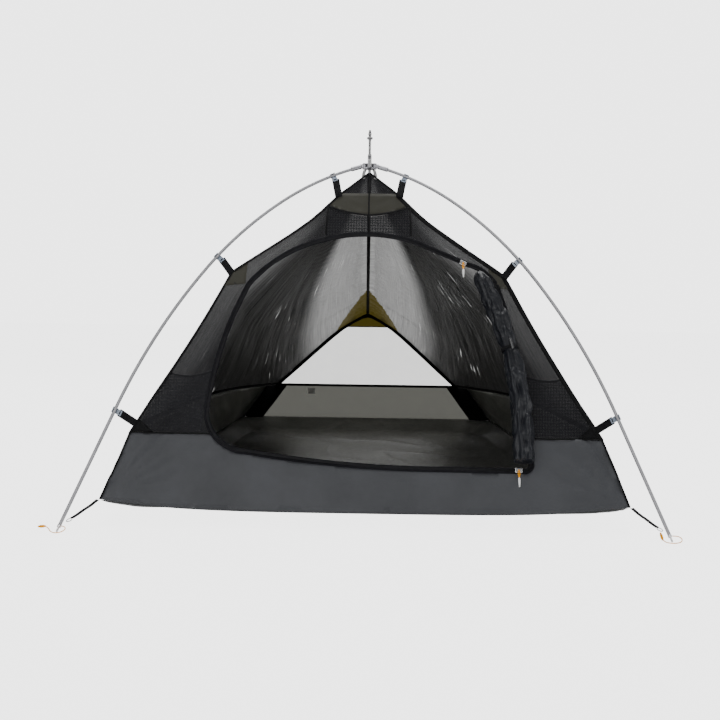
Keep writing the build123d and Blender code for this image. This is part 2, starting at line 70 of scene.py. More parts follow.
def make_camera():
    tilt, yaw, roll = (math.radians(a) for a in (CAMERA_TILT, CAMERA_YAW, CAMERA_ROLL))
    ahead = Vector((-math.sin(yaw) * math.cos(tilt), math.cos(yaw) * math.cos(tilt), -math.sin(tilt)))
    right = ahead.cross(Vector((0, 0, 1))).normalized()
    up = right.cross(ahead)
    x_axis = right * math.cos(roll) + up * math.sin(roll)
    y_axis = up * math.cos(roll) - right * math.sin(roll)
    data = bpy.data.cameras.new("camera")
    data.lens = CAMERA_LENS
    data.sensor_width = 36
    data.clip_end = 100
    camera = bpy.data.objects.new("camera", data)
    turn = Matrix((x_axis, y_axis, -ahead)).transposed()
    camera.matrix_world = Matrix.Translation(CAMERA_AT) @ turn.to_4x4()
    bpy.context.scene.collection.objects.link(camera)
    bpy.context.scene.camera = camera


make_camera()

# ---------------------------------------------------------------- material helpers

WEAVE, RIPSTOP = 0.0005, 0.006


def node(tree, kind, **settings):
    made = tree.nodes.new(kind)
    for key, value in settings.items():
        setattr(made, key, value)
    return made


def maths(tree, operation, first, second=None):
    made = node(tree, "ShaderNodeMath", operation=operation)
    for socket, value in zip(made.inputs, (first, second)):
        if isinstance(value, (int, float)):
            socket.default_value = value
        elif value is not None:
            tree.links.new(value, socket)
    return made.outputs[0]


def new_material(name, color, roughness, **sockets):
    """A Principled material and its tree and shader, with uniform values on the shader's own sockets."""
    made = bpy.data.materials.new(name)
    made.use_nodes = True
    tree = made.node_tree
    shader = tree.nodes["Principled BSDF"]
    shader.inputs["Base Color"].default_value = (*color, 1)
    shader.inputs["Roughness"].default_value = roughness
    for key, value in sockets.items():
        shader.inputs[key.replace("_", " ")].default_value = value
    return made, tree, shader


def uv_space(tree, uv_name, pitch=1):
    """The uv map's coordinates, in units of the pitch."""
    coords = node(tree, "ShaderNodeUVMap", uv_map=uv_name)
    mapping = node(tree, "ShaderNodeMapping")
    mapping.inputs["Scale"].default_value = (1 / pitch, 1 / pitch, 1)
    tree.links.new(coords.outputs[0], mapping.inputs["Vector"])
    return mapping.outputs[0]


def noise_of(tree, space, scale, detail=4.0):
    made = node(tree, "ShaderNodeTexNoise")
    made.inputs["Scale"].default_value = scale
    made.inputs["Detail"].default_value = detail
    made.inputs["Roughness"].default_value = 0.55
    tree.links.new(space, made.inputs["Vector"])
    return made.outputs["Fac"]


def object_noise(tree, scale, detail=4.0):
    return noise_of(tree, node(tree, "ShaderNodeTexCoord").outputs["Object"], scale, detail)


def threads(tree, space, share):
    """1 on the threads of a square grid of pitch 1 in the space, whose threads fill a share of the pitch."""
    split = node(tree, "ShaderNodeSeparateXYZ")
    tree.links.new(space, split.inputs[0])
    lines = []
    for axis in (0, 1):
        part = maths(tree, "FRACT", split.outputs[axis])
        lines.append(maths(tree, "LESS_THAN", part, share))
    return maths(tree, "MAXIMUM", *lines)


def soft_weave(tree, space):
    """Smooth over-and-under height of a plain weave, of pitch 1 in the space."""
    split = node(tree, "ShaderNodeSeparateXYZ")
    tree.links.new(space, split.inputs[0])
    waves = [maths(tree, "SINE", maths(tree, "MULTIPLY", split.outputs[a], 2 * math.pi)) for a in (0, 1)]
    return maths(tree, "MULTIPLY", *waves)


def vary_color(tree, shader, factor, color, low, high):
    """Base colour from low to high times the given colour, over the middle of a noise."""
    ramp = node(tree, "ShaderNodeValToRGB")
    for stop, position, share in zip(ramp.color_ramp.elements, (0.3, 0.7), (low, high)):
        stop.position = position
        stop.color = (*(c * share for c in color), 1)
    tree.links.new(factor, ramp.inputs[0])
    tree.links.new(ramp.outputs[0], shader.inputs["Base Color"])


def value_between(tree, factor, low, high):
    made = node(tree, "ShaderNodeMapRange")
    made.inputs["To Min"].default_value = low
    made.inputs["To Max"].default_value = high
    tree.links.new(factor, made.inputs["Value"])
    return made.outputs[0]


def vary_roughness(tree, shader, factor, low, high):
    tree.links.new(value_between(tree, factor, low, high), shader.inputs["Roughness"])


def add_bump(tree, shader, heights, base=None):
    """Chain of bumps, each (height socket, distance in metres, strength)."""
    normal = base
    for height, distance, strength in heights:
        bump = node(tree, "ShaderNodeBump")
        bump.inputs["Distance"].default_value = distance
        bump.inputs["Strength"].default_value = strength
        tree.links.new(height, bump.inputs["Height"])
        if normal is not None:
            tree.links.new(normal, bump.inputs["Normal"])
        normal = bump.outputs[0]
    tree.links.new(normal, shader.inputs["Normal"])
    return normal


def cloth_material(name, color, roughness=0.5, sheen=0.05, crinkle=1.0, specular=0.25):
    """Coated nylon: plain weave, raised ripstop grid, small crinkles and patches of shade."""
    made, tree, shader = new_material(name, color, roughness, Sheen_Weight=sheen, Sheen_Roughness=0.4,
                                      Specular_IOR_Level=specular)
    shade = object_noise(tree, 5.0)
    vary_color(tree, shader, shade, color, 0.82, 1.18)
    fine = object_noise(tree, 60.0, 5.0)
    vary_roughness(tree, shader, fine, roughness - 0.1, roughness + 0.1)
    add_bump(tree, shader, [
        (object_noise(tree, 22.0, 3.0), 0.004 * crinkle, 0.35),
        (soft_weave(tree, uv_space(tree, "flat", WEAVE)), 0.00006, 0.4),
        (threads(tree, uv_space(tree, "flat", RIPSTOP), 0.08), 0.0001, 0.5),
    ])
    return made


def metal_material(name, color, roughness, metallic=1.0):
    """Metal with slight wear and soft, shallow unevenness."""
    made, tree, shader = new_material(name, color, roughness, Metallic=metallic)
    worn = object_noise(tree, 35.0, 4.0)
    vary_roughness(tree, shader, worn, roughness - 0.05, roughness + 0.06)
    vary_color(tree, shader, worn, color, 0.92, 1.06)
    rounded = node(tree, "ShaderNodeBevel", samples=6)
    rounded.inputs["Radius"].default_value = 0.0025
    add_bump(tree, shader, [(object_noise(tree, 12.0, 1.0), 0.0002, 0.1)],
             rounded.outputs[0])
    return made


def plastic_material(name, color, roughness, coat=0.0):
    """Moulded plastic with a faint grain."""
    made, tree, shader = new_material(name, color, roughness, Coat_Weight=coat, Coat_Roughness=0.2)
    grain = object_noise(tree, 1400.0, 3.0)
    patchy = object_noise(tree, 60.0, 3.0)
    vary_color(tree, shader, patchy, color, 0.9, 1.1)
    vary_roughness(tree, shader, grain, roughness - 0.08, roughness + 0.08)
    add_bump(tree, shader, [(grain, 0.00005, 0.5)])
    return made


def webbing_material(name, color, rib=0.0016, sheen=0.01):
    """Woven tape: a soft weave of fine ribs, fuzzy shade."""
    made, tree, shader = new_material(name, color, 0.75, Sheen_Weight=sheen, Sheen_Roughness=0.5,
                                      Specular_IOR_Level=0.12)
    space = uv_space(tree, "flat", rib)
    shade = object_noise(tree, 90.0)
    vary_color(tree, shader, shade, color, 0.75, 1.35)
    add_bump(tree, shader, [(soft_weave(tree, space), 0.0003, 0.8)])
    return made


def net_material(name, color, pitch, share):
    """Insect mesh: threads of a square net, with nothing between them."""
    made, tree, shader = new_material(name, color, 0.55, Specular_IOR_Level=0.15)
    holes = node(tree, "ShaderNodeBsdfTransparent")
    mix = node(tree, "ShaderNodeMixShader")
    wander = object_noise(tree, 9.0, 2.0)
    vary_color(tree, shader, wander, color, 0.8, 1.25)
    net = threads(tree, uv_space(tree, "flat", pitch), share)
    tree.links.new(net, mix.inputs[0])
    tree.links.new(holes.outputs[0], mix.inputs[1])
    tree.links.new(shader.outputs[0], mix.inputs[2])
    tree.links.new(mix.outputs[0], tree.nodes["Material Output"].inputs["Surface"])
    return made


def thin_cloth_material(name, color, light, light_share, roughness, clear=0.0, fanned=False):
    """Thin nylon that lets light through: a faced side, a translucent share and a see-through share.

    A fanned cloth takes its light-passing share from the attribute "painted_light_through", which paints
    light by the ridge and near the front; a fold noise scales that share to paint shade and light across its
    folds, and thin painted highlights are added along its folds where the attribute "painted_highlight_mask"
    allows them.
    """
    made, tree, shader = new_material(name, color, roughness, Specular_IOR_Level=0.15)
    through = node(tree, "ShaderNodeBsdfTranslucent")
    through.inputs["Color"].default_value = (*light, 1)
    lit_share, see_through = node(tree, "ShaderNodeMixShader"), node(tree, "ShaderNodeMixShader")
    lit_share.inputs[0].default_value = light_share
    see_through.inputs[0].default_value = clear
    shade = object_noise(tree, 7.0)
    vary_color(tree, shader, shade, color, 0.8, 1.2)
    heights = [(threads(tree, uv_space(tree, "flat", 0.005), 0.08), 0.0001, 0.4)]
    if fanned:
        # the light-passing share by point, raised by the ridge and near the front, paints light there
        share = node(tree, "ShaderNodeAttribute", attribute_name="painted_light_through").outputs["Fac"]
        allowed = node(tree, "ShaderNodeAttribute", attribute_name="painted_highlight_mask").outputs["Fac"]
        fan = noise_of(tree, uv_space(tree, "fan"), 1.0, 3.0)
        thin = node(tree, "ShaderNodeMapRange", interpolation_type="SMOOTHSTEP")
        thin.inputs["From Min"].default_value, thin.inputs["From Max"].default_value = 0.64, 0.72
        tree.links.new(fan, thin.inputs["Value"])
        # painted highlights: thin bright lines on the fold crests, added to the light-passing share
        painted_highlight = maths(tree, "MULTIPLY", thin.outputs[0], allowed)
        # painted shade and light across the folds: the fold noise scales the light-passing share from 0.3 to
        # 1.6 times
        painted_fold_shade = maths(tree, "MULTIPLY", share, value_between(tree, fan, 0.3, 1.6))
        tree.links.new(maths(tree, "ADD", painted_fold_shade, painted_highlight), lit_share.inputs[0])
        tree.links.new(maths(tree, "MULTIPLY", share, clear), see_through.inputs[0])
        heights.insert(0, (fan, 0.006, 0.8))
        heights.insert(1, (object_noise(tree, 45.0, 2.0), 0.002, 0.3))
    normal = add_bump(tree, shader, heights)
    tree.links.new(normal, through.inputs["Normal"])
    tree.links.new(shader.outputs[0], lit_share.inputs[1])
    tree.links.new(through.outputs[0], lit_share.inputs[2])
    tree.links.new(lit_share.outputs[0], see_through.inputs[1])
    tree.links.new(node(tree, "ShaderNodeBsdfTransparent").outputs[0], see_through.inputs[2])
    tree.links.new(see_through.outputs[0], tree.nodes["Material Output"].inputs["Surface"])
    return made


# ---------------------------------------------------------------- materials

OUTER = (0.046, 0.048, 0.053)
INNER = (0.095, 0.097, 0.084)
OLIVE = (0.07, 0.060, 0.016)
BLACK = (0.006, 0.006, 0.007)

M = {
    "pole": metal_material("pole_aluminium", (0.33, 0.33, 0.345), 0.5, 0.5),
    "brow": metal_material("brow_aluminium", (0.74, 0.74, 0.74), 0.34),
    "hub": metal_material("hub_casting", (0.34, 0.34, 0.36), 0.38, metallic=0.8),
    "tip": metal_material("tip_aluminium", (0.66, 0.66, 0.67), 0.28),
    "steel": metal_material("ring_steel", (0.5, 0.5, 0.5), 0.25),
    "fitting": plastic_material("dark_fitting", (0.16, 0.16, 0.17), 0.4),
    "socket": plastic_material("socket_plastic", (0.62, 0.62, 0.62), 0.35, 0.3),
    "clip": plastic_material("clip_plastic", (0.22, 0.26, 0.32), 0.35, 0.3),
    "toggle": plastic_material("toggle_plastic", (0.02, 0.02, 0.022), 0.22, 0.5),
    "white_tip": plastic_material("pull_tip_plastic", (0.75, 0.75, 0.74), 0.35, 0.2),
    "webbing": webbing_material("black_webbing", BLACK),
    "binding": webbing_material("black_binding", (0.005, 0.005, 0.0055), 0.0009),
    "tape": webbing_material("zip_tape", (0.006, 0.006, 0.008), 0.0012),
    "chain": webbing_material("zip_chain", (0.008, 0.008, 0.009), 0.0024),
    "yellow": webbing_material("yellow_cord", (0.90, 0.36, 0.0), 0.0011, 0.0),
    "sill": cloth_material("coated_cloth_outside", OUTER),
    "inside": cloth_material("coated_cloth_inside", INNER, 0.42),
    "floor": cloth_material("floor_cloth", (0.060, 0.060, 0.055), 0.34),
    "olive": cloth_material("olive_cloth", (0.030, 0.029, 0.021), 0.6),
    "olive_light": thin_cloth_material("olive_thin_cloth", OLIVE, (0.095, 0.074, 0.010), 0.35, 0.5),
    "net": net_material("insect_mesh", (0.010, 0.010, 0.012), 0.0011, 0.37),
    "pocket_net": net_material("pocket_mesh", (0.012, 0.012, 0.015), 0.0013, 0.42),
    "roll": cloth_material("rolled_mesh", (0.005, 0.006, 0.009), 0.34, 0.02, crinkle=3.0, specular=0.3),
    "canopy": thin_cloth_material("canopy_cloth", (0.014, 0.014, 0.016), (0.36, 0.36, 0.355), 0.3, 0.5,
                                  0.04, True),
    "rear": thin_cloth_material("rear_cloth", (0.70, 0.70, 0.68), (0.95, 0.95, 0.93), 0.6, 0.45, 0.16),
    "rear_tub": thin_cloth_material("rear_bathtub_cloth", (0.06, 0.06, 0.055), (0.20, 0.20, 0.178),
                                    0.4, 0.5),
    "hanger": thin_cloth_material("hanger_cloth", (0.3, 0.3, 0.3), (0.8, 0.8, 0.8), 0.5, 0.4),
    "tag": thin_cloth_material("care_tag", (0.7, 0.7, 0.7), (0.8, 0.8, 0.8), 0.5, 0.6, 0.1),
}

# ---------------------------------------------------------------- mesh helpers


def finish_piece(name, data, material, body, smooth=True):
    piece = bpy.data.objects.new(name, data)
    bpy.context.scene.collection.objects.link(piece)
    for one in material if isinstance(material, (list, tuple)) else [material]:
        data.materials.append(one)
    if smooth and piece.type == "MESH":
        data.polygons.foreach_set("use_smooth", [True] * len(data.polygons))
    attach(piece, body)
    return piece


def set_uv(data, name, values):
    layer = data.uv_layers.new(name=name)
    corners = np.empty(len(data.loops), int)
    data.loops.foreach_get("vertex_index", corners)
    layer.data.foreach_set("uv", np.asarray(values, float)[corners].ravel())


def shell(piece, thickness, inner=0, offset=-1):
    """Gives a sheet its thickness; the inner face takes the material that many slots on."""
    solid = piece.modifiers.new("thickness", "SOLIDIFY")
    solid.thickness = thickness
    solid.offset = offset
    solid.material_offset = inner
    return piece


def grid_data(name, rows, closed=False):
    """Mesh of quads over rows of points, with metric coordinates in the uv map "flat"."""
    rows = np.array([[tuple(p) for p in row] for row in rows], float)
    count, width = rows.shape[:2]
    faces = []
    for i in range(count - 1):
        for j in range(width if closed else width - 1):
            k = (j + 1) % width
            faces.append((i * width + j, i * width + k, (i + 1) * width + k, (i + 1) * width + j))
    data = bpy.data.meshes.new(name)
    data.from_pydata(rows.reshape(-1, 3).tolist(), [], faces)
    along = np.zeros((count, width))
    along[1:] = np.cumsum(np.linalg.norm(np.diff(rows, axis=0), axis=2), axis=0)
    across = np.zeros((count, width))
    across[:, 1:] = np.cumsum(np.linalg.norm(np.diff(rows, axis=1), axis=2), axis=1)
    set_uv(data, "flat", np.stack([across.ravel(), along.ravel()], axis=1))
    return data


def tape_piece(name, rows, material, thickness, body="tent"):
    """Thin strip over rows of points, thickened evenly to both sides."""
    return shell(finish_piece(name, grid_data(name, rows), material, body), thickness, 0, 0)


def inside_polygon(point, polygon):
    x, y = point
    hit = False
    for (ax, ay), (bx, by) in zip(polygon, polygon[1:] + polygon[:1]):
        if (ay > y) != (by > y) and x < (bx - ax) * (y - ay) / (by - ay) + ax:
            hit = not hit
    return hit


def densify(polygon, step, closed=True):
    points = []
    pairs = list(zip(polygon, polygon[1:] + (polygon[:1] if closed else [])))
    for (ax, ay), (bx, by) in pairs:
        parts = max(1, round(math.hypot(bx - ax, by - ay) / step))
        points += [(ax + (bx - ax) * i / parts, ay + (by - ay) * i / parts) for i in range(parts)]
    return points if closed else [*points, polygon[-1]]


def region_data(name, outer, holes, step, to_space):
    """Triangle mesh of a flat outline with holes. to_space turns the outline's own x and y to a point."""
    loops = [densify(loop, step) for loop in (outer, *holes)]
    points, edges = [], []
    for loop in loops:
        first = len(points)
        points += [Vector(p) for p in loop]
        edges += [(first + i, first + (i + 1) % len(loop)) for i in range(len(loop))]
    low_x, high_x = min(p[0] for p in outer), max(p[0] for p in outer)
    low_y, high_y = min(p[1] for p in outer), max(p[1] for p in outer)
    row = 0
    y = low_y + step * 0.5
    border = np.array([tuple(p) for p in points])
    while y < high_y:
        x = low_x + step * (0.5 if row % 2 else 0.0)
        while x < high_x:
            if inside_polygon((x, y), outer) and not any(inside_polygon((x, y), hole) for hole in holes):
                if np.hypot(border[:, 0] - x, border[:, 1] - y).min() > 0.5 * step:
                    points.append(Vector((x, y)))
            x += step
        y += step * 0.866
        row += 1
    flat, _, triangles, *_ = delaunay_2d_cdt(points, edges, [], 0, 1e-6)
    kept = []
    for triangle in triangles:
        center = sum((flat[i] for i in triangle), Vector((0, 0))) / len(triangle)
        if inside_polygon(center, outer) and not any(inside_polygon(center, hole) for hole in holes):
            kept.append(triangle)
    used = sorted({i for triangle in kept for i in triangle})
    place = {old: new for new, old in enumerate(used)}
    data = bpy.data.meshes.new(name)
    data.from_pydata([tuple(to_space(*flat[i])) for i in used], [], [[place[i] for i in t] for t in kept])
    set_uv(data, "flat", [(flat[i][0] * MM, flat[i][1] * MM) for i in used])
    return data


def curve_piece(name, lines, radius, material, body, closed=False, kind="POLY"):
    data = bpy.data.curves.new(name, "CURVE")
    data.dimensions = "3D"
    data.bevel_depth = radius
    data.bevel_resolution = 3
    data.use_fill_caps = True
    for line in lines:
        spline = data.splines.new(kind)
        spline.points.add(len(line) - 1)
        for point, at in zip(spline.points, line):
            point.co = (*at, 1)
        spline.use_cyclic_u = closed
        if kind == "NURBS":
            spline.order_u = 3
            spline.use_endpoint_u = not closed
    piece = bpy.data.objects.new(name, data)
    bpy.context.scene.collection.objects.link(piece)
    data.materials.append(material)
    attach(piece, body)
    return piece


def hermite(points, knots, at):
    """Smooth line through points at the given knots."""
    i = min(max(int(np.searchsorted(knots, at, side="right")) - 1, 0), len(knots) - 2)
    span = knots[i + 1] - knots[i]
    t = (at - knots[i]) / span

    def slope(k):
        low, high = max(k - 1, 0), min(k + 1, len(knots) - 1)
        return (points[high] - points[low]) / (knots[high] - knots[low])

    a, b, m, n = points[i], points[i + 1], slope(i) * span, slope(i + 1) * span
    return (a * (2 * t**3 - 3 * t**2 + 1) + m * (t**3 - 2 * t**2 + t)
            + b * (3 * t**2 - 2 * t**3) + n * (t**3 - t**2))


def smoothstep(low, high, value):
    t = min(max((value - low) / (high - low), 0.0), 1.0)
    return t * t * (3 - 2 * t)


def crests(x, y, seed):
    """Thin crests of a ridged noise, 0 to 1."""
    return max(0.0, 1 - 2.4 * abs(noise.noise(Vector((x, y, seed)))))


# ---------------------------------------------------------------- planes and outlines, in millimetres

FRONT_LEAN = (-1115.7, 0.428)
REAR_LEAN = (1099.8, -0.2714)
FRONT_STRETCH = math.hypot(1, FRONT_LEAN[1])
FRONT_OUT = Vector((0, -1, FRONT_LEAN[1])).normalized()
REAR_OUT = Vector((0, 1, -REAR_LEAN[1])).normalized()


def on_front(x, z, out=0.0):
    return (Vector((x, FRONT_LEAN[0] + FRONT_LEAN[1] * z, z)) + FRONT_OUT * out) * MM


def on_rear(x, z, out=0.0):
    return (Vector((x, REAR_LEAN[0] + REAR_LEAN[1] * z, z)) + REAR_OUT * out) * MM


def arc_points(start, middle, end, count):
    """Points of the arc through three (x, height) points on the leaning front wall."""
    (ax, ay), (bx, by), (cx, cy) = [(x, z * FRONT_STRETCH) for x, z in (start, middle, end)]
    d = 2 * (ax * (by - cy) + bx * (cy - ay) + cx * (ay - by))
    aa, bb, cc = ax * ax + ay * ay, bx * bx + by * by, cx * cx + cy * cy
    ux = (aa * (by - cy) + bb * (cy - ay) + cc * (ay - by)) / d
    uy = (aa * (cx - bx) + bb * (ax - cx) + cc * (bx - ax)) / d
    radius = math.hypot(ax - ux, ay - uy)
    first = math.atan2(ay - uy, ax - ux)
    sweep = (math.atan2(cy - uy, cx - ux) - first) % (2 * math.pi)
    passing = (math.atan2(by - uy, bx - ux) - first) % (2 * math.pi)
    if passing > sweep:
        sweep -= 2 * math.pi
    return [(ux + radius * math.cos(first + sweep * i / count),
             (uy + radius * math.sin(first + sweep * i / count)) / FRONT_STRETCH) for i in range(count + 1)]


FRONT_EDGE = [(601, 224), (452, 475), (367, 639), (165, 781), (82, 860), (3, 922)]
SILL_TOP = 222
CORNER = (660, 63)
SILL_BOTTOM = 40
DOOR_ARCS = [
    ((-118, 729), (0, 745), (130, 723)), ((270, 664), (318, 640), (345, 604)),
    ((345, 604), (394, 400), (408, 200)), ((416, 165), (413, 150), (400, 145)),
    ((220, 147), (-60, 156), (-300, 182)), ((-300, 182), (-381, 217), (-406, 286)),
    ((-406, 286), (-376, 450), (-317, 604)), ((-317, 604), (-228, 683), (-118, 729)),
]


def door_outline(grow=0.0):
    """Door seam as a closed list of (x, height), grown outwards by so many millimetres."""
    line = []
    for arc in DOOR_ARCS:
        line += arc_points(*arc, 14)[:-1] if line and arc[0] == line[-1] else arc_points(*arc, 14)
    clean = [line[0]]
    for point in line[1:]:
        if math.dist(point, clean[-1]) > 4:
            clean.append(point)
    if math.dist(clean[0], clean[-1]) < 4:
        clean.pop()
    clean = densify(clean, 14)
    grown = []
    for before, here, after in zip(clean[-1:] + clean[:-1], clean, clean[1:] + clean[:1]):
        along = Vector((after[0] - before[0], after[1] - before[1])).normalized()
        # the outline runs clockwise, so its left side is outside
        grown.append((here[0] - along.y * grow, here[1] + along.x * grow))
    return grown


def edge_height(x):
    """Height of the front wall's bottom edge, pulled up at its corners."""
    return SILL_BOTTOM + (CORNER[1] - SILL_BOTTOM) * min(abs(x) / CORNER[0], 1) ** 4


def edge_line(side, count=10):
    """Front seam from the sill's top to the apex, a scallop between each two straps."""
    points = [np.array(p, float) for p in FRONT_EDGE]
    line = []
    for group in (points[:3], points[2:5], points[4:]):
        knots = np.concatenate([[0], np.cumsum([np.linalg.norm(b - a) for a, b in zip(group, group[1:])])])
        line += [hermite(group, knots, knots[-1] * i / count) for i in range(count)]
    return [(side * float(p[0]), float(p[1])) for p in [*line, points[-1]]]


# corners of the front wall that folds fan from: place, reach, number of folds and their depth
FRONT_FOLDS = (((650, 66), 260, 9, 5.5), ((600, 224), 120, 7, 1.8),
               ((367, 639), 160, 8, 2.0), ((84, 858), 90, 7, 1.2))


def front_lift(x, z):
    """Slack of the front wall: broad waves and folds that fan from its corners, in millimetres."""
    lift = 3.0 * noise.noise(Vector((x / 260, z / 160, 3.1)))
    for side in (-1, 1):
        for corner, reach, folds, depth in FRONT_FOLDS:
            dx, dz = x - side * corner[0], z - corner[1]
            r = math.hypot(dx, dz)
            angle = math.atan2(dz, dx)
            lift += (depth * math.exp(-r / reach) * smoothstep(8, 60, r)
                     * math.sin(folds * angle * 2 + 2.0 * noise.noise(Vector((x / 90, z / 90, side)))))
    return lift


def on_wall(x, z, out=0.0):
    edge = smoothstep(0, 40, min(abs(z - edge_height(x)), 400))
    return on_front(x, z, out + front_lift(x, z) * edge)


# ---------------------------------------------------------------- front wall

door_hole = door_outline(3.4)
sill_sides = [(CORNER[0] + (FRONT_EDGE[0][0] - CORNER[0]) * i / 6,
               CORNER[1] + (SILL_TOP - CORNER[1]) * i / 6) for i in range(7)]
sill_bottom = [(CORNER[0] * i / 24, edge_height(CORNER[0] * i / 24)) for i in range(-24, 25)]


def window_split(limit):
    """Left and right x at which the door hole crosses a height."""
    found = []
    for (ax, ay), (bx, by) in zip(door_hole, door_hole[1:] + door_hole[:1]):
        if (ay > limit) != (by > limit):
            found.append(ax + (bx - ax) * (limit - ay) / (by - ay))
    return min(found), max(found)


door_left, door_right = window_split(SILL_TOP)
sill_outline = [*sill_bottom, *sill_sides[1:], *((-x, z) for x, z in reversed(sill_sides[1:]))]
sill_data = region_data("front_sill_cloth", sill_outline, [door_hole], 13, on_wall)
front_sill = finish_piece("front_sill_cloth", sill_data, [M["sill"], M["inside"]], "tent")
shell(front_sill, 0.0008, 1)
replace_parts(front_sill, "front_sill")

right_edge, left_edge = edge_line(1), edge_line(-1)
net_outline = [*right_edge, *reversed(left_edge)]
TOP_SPLIT = 668


def half(polygon, axis, limit, keep_low):
    """Part of a closed outline on one side of a line x = limit (axis 0) or height = limit (axis 1)."""
    kept = []
    for here, after in zip(polygon, polygon[1:] + polygon[:1]):
        here_in, after_in = ((p[axis] <= limit) == keep_low for p in (here, after))
        if here_in:
            kept.append(here)
        if here_in != after_in:
            t = (limit - here[axis]) / (after[axis] - here[axis])
            kept.append(tuple(a + (b - a) * t for a, b in zip(here, after)))
    return kept


for name, flat_size, cuts in (
    ("left", (0.24, 0.50), ((1, TOP_SPLIT, True), (0, 0, True))),
    ("right", (0.20, 0.50), ((1, TOP_SPLIT, True), (0, 0, False))),
    ("top", (0.66, 0.28), ((1, TOP_SPLIT, False),)),
):
    outline = net_outline
    for cut in cuts:
        outline = half(outline, *cut)
    net_data = region_data(f"front_mesh_{name}_cloth", outline, [door_hole], 13,
                           lambda x, z: on_wall(x, z, 0.5))
    net_piece = finish_piece(f"front_mesh_{name}_cloth", net_data, M["net"], "tent")
    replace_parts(net_piece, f"front_mesh_{name}")


def band_on_front(name, line, low, high, out, material, thickness=0.8, closed=False, across=3):
    """Flat tape along a line on the front wall, from low to high millimetres to its left."""
    rows = []
    count = len(line)
    for i, here in enumerate(line):
        before = line[i - 1] if closed or i else here
        after = line[(i + 1) % count] if closed or i < count - 1 else here
        along = Vector((after[0] - before[0], (after[1] - before[1]) * FRONT_STRETCH)).normalized()
        row = []
        for j in range(across + 1):
            grow = low + (high - low) * j / across
            row.append(on_wall(here[0] - along.y * grow, here[1] + along.x * grow / FRONT_STRETCH, out))
        rows.append(row)
    if closed:
        rows.append(rows[0])
    return tape_piece(name, rows, material, thickness * MM)


band_on_front("zip_tape_wall_side", door_outline(), 2.6, 9, 1.5, M["tape"], closed=True)
band_on_front("zip_tape_door_side", door_outline(), -5, -2.6, 1.2, M["tape"], closed=True)

for name, line, side, low_width in (("left", left_edge, -1, 6), ("right", right_edge, 1, 11)):
    for part, stretch, width in (("low", line[:21], low_width), ("high", line[20:], 4)):
        binding_name = f"edge_binding_{name}_{part}"
        band_on_front(binding_name, stretch, -side, side * width, 1.6, M["binding"])
for name, side in (("left", -1), ("right", 1)):
    low_side = [(side * x, z) for x, z in sill_sides]
    band_on_front(f"sill_binding_{name}", low_side, -side, side * 4, 1.4, M["binding"])
    door_edge = door_right if side > 0 else -door_left
    top_line = [(side * x, SILL_TOP) for x in (603, 560, 520, 480, 440, door_edge)]
    band_on_front(f"sill_seam_{name}", top_line, -side * 2, side * 2, 1.4, M["binding"], 0.6)


# ---------------------------------------------------------------- side walls and bathtub

STATION_Y = (None, 120, 700, None)
CANOPY = [FRONT_EDGE,
          [(597, 207), (505, 345), (410, 470), (240, 605), (125, 682), (3, 741)],
          [(540, 195), (430, 300), (320, 400), (190, 490), (100, 550), (3, 606)],
          [(402, 190), (318, 268), (236, 344), (154, 417), (98, 457), (3, 512)]]
BATHTUB = [[CORNER, (602, 222)], [(610, 39), (598, 205)], [(575, 39), (541, 193)], [(554, 39), (440, 188)]]
STATION_KNOTS = np.array([0.0, 0.50, 0.82, 1.0])
SEAM_KNOTS = np.array([0.0, 0.27, 0.48, 0.74, 0.86, 1.0])


def station_point(index, x, z):
    if index == 0:
        return np.array((x, FRONT_LEAN[0] + FRONT_LEAN[1] * z, z), float)
    if index == 3:
        return np.array((x, REAR_LEAN[0] + REAR_LEAN[1] * z, z), float)
    return np.array((x, STATION_Y[index], z), float)


FRONT_SEAM = [np.array(p) for p in edge_line(1, 10)]
FRONT_SEAM_KNOTS = np.concatenate([np.linspace(0, 0.48, 10, False), np.linspace(0.48, 0.86, 10, False),
                                   np.linspace(0.86, 1, 11)])


def canopy_point(along, up):
    """Point of the right side wall, in millimetres, before its wrinkles."""
    seam_x = np.interp(up, FRONT_SEAM_KNOTS, [p[0] for p in FRONT_SEAM])
    seam_z = np.interp(up, FRONT_SEAM_KNOTS, [p[1] for p in FRONT_SEAM])
    stations = [station_point(0, seam_x, seam_z)]
    for index in (1, 2, 3):
        x, z = hermite([np.array(p, float) for p in CANOPY[index]], SEAM_KNOTS, up)
        stations.append(station_point(index, x, z))
    return hermite(stations, STATION_KNOTS, along)


ALONG, UP = 230, 110


FRONT_APEX = canopy_point(0, 1)
SPAN = np.stack([canopy_point(1, 1) - FRONT_APEX, canopy_point(0, 0) - FRONT_APEX], axis=1)
SPAN /= np.linalg.norm(SPAN, axis=0)


def fan_place(point):
    """Angle down from the ridge and distance in metres of a wall point, seen from the front apex."""
    run, rise = np.linalg.lstsq(SPAN, point - FRONT_APEX, rcond=None)[0] * MM
    return math.atan2(max(rise, 0.0) + 0.004, max(run, 0.0) + 0.02), math.hypot(run, rise)


def wrinkle(along, up, angle, reach, seed):
    """Straight folds that fan from the front apex, and short ones by the ridge, in millimetres."""
    turn = math.log(angle)
    strong = smoothstep(-0.15, 0.35, noise.noise(Vector((turn * 1.6, reach * 1.3, seed + 4))))
    folds = 5.5 * crests(turn * 5, reach * 0.9, seed) ** 2 * strong
    folds += 2.6 * crests(turn * 13, reach * 1.7, seed + 9) ** 3
    folds += 2.5 * noise.noise(Vector((along * 6, up * 3, seed)))
    ridge = smoothstep(0.86, 0.99, up) * (1 - smoothstep(0.99, 1.0, up))
    folds += 5 * ridge * crests(along * 30 + up * 6, up * 2, seed + 5)
    border = smoothstep(0, 0.05, up) * smoothstep(0, 0.03, along) * smoothstep(0, 0.03, 1 - along)
    border *= smoothstep(0, 0.02, 1 - up)
    return folds * border


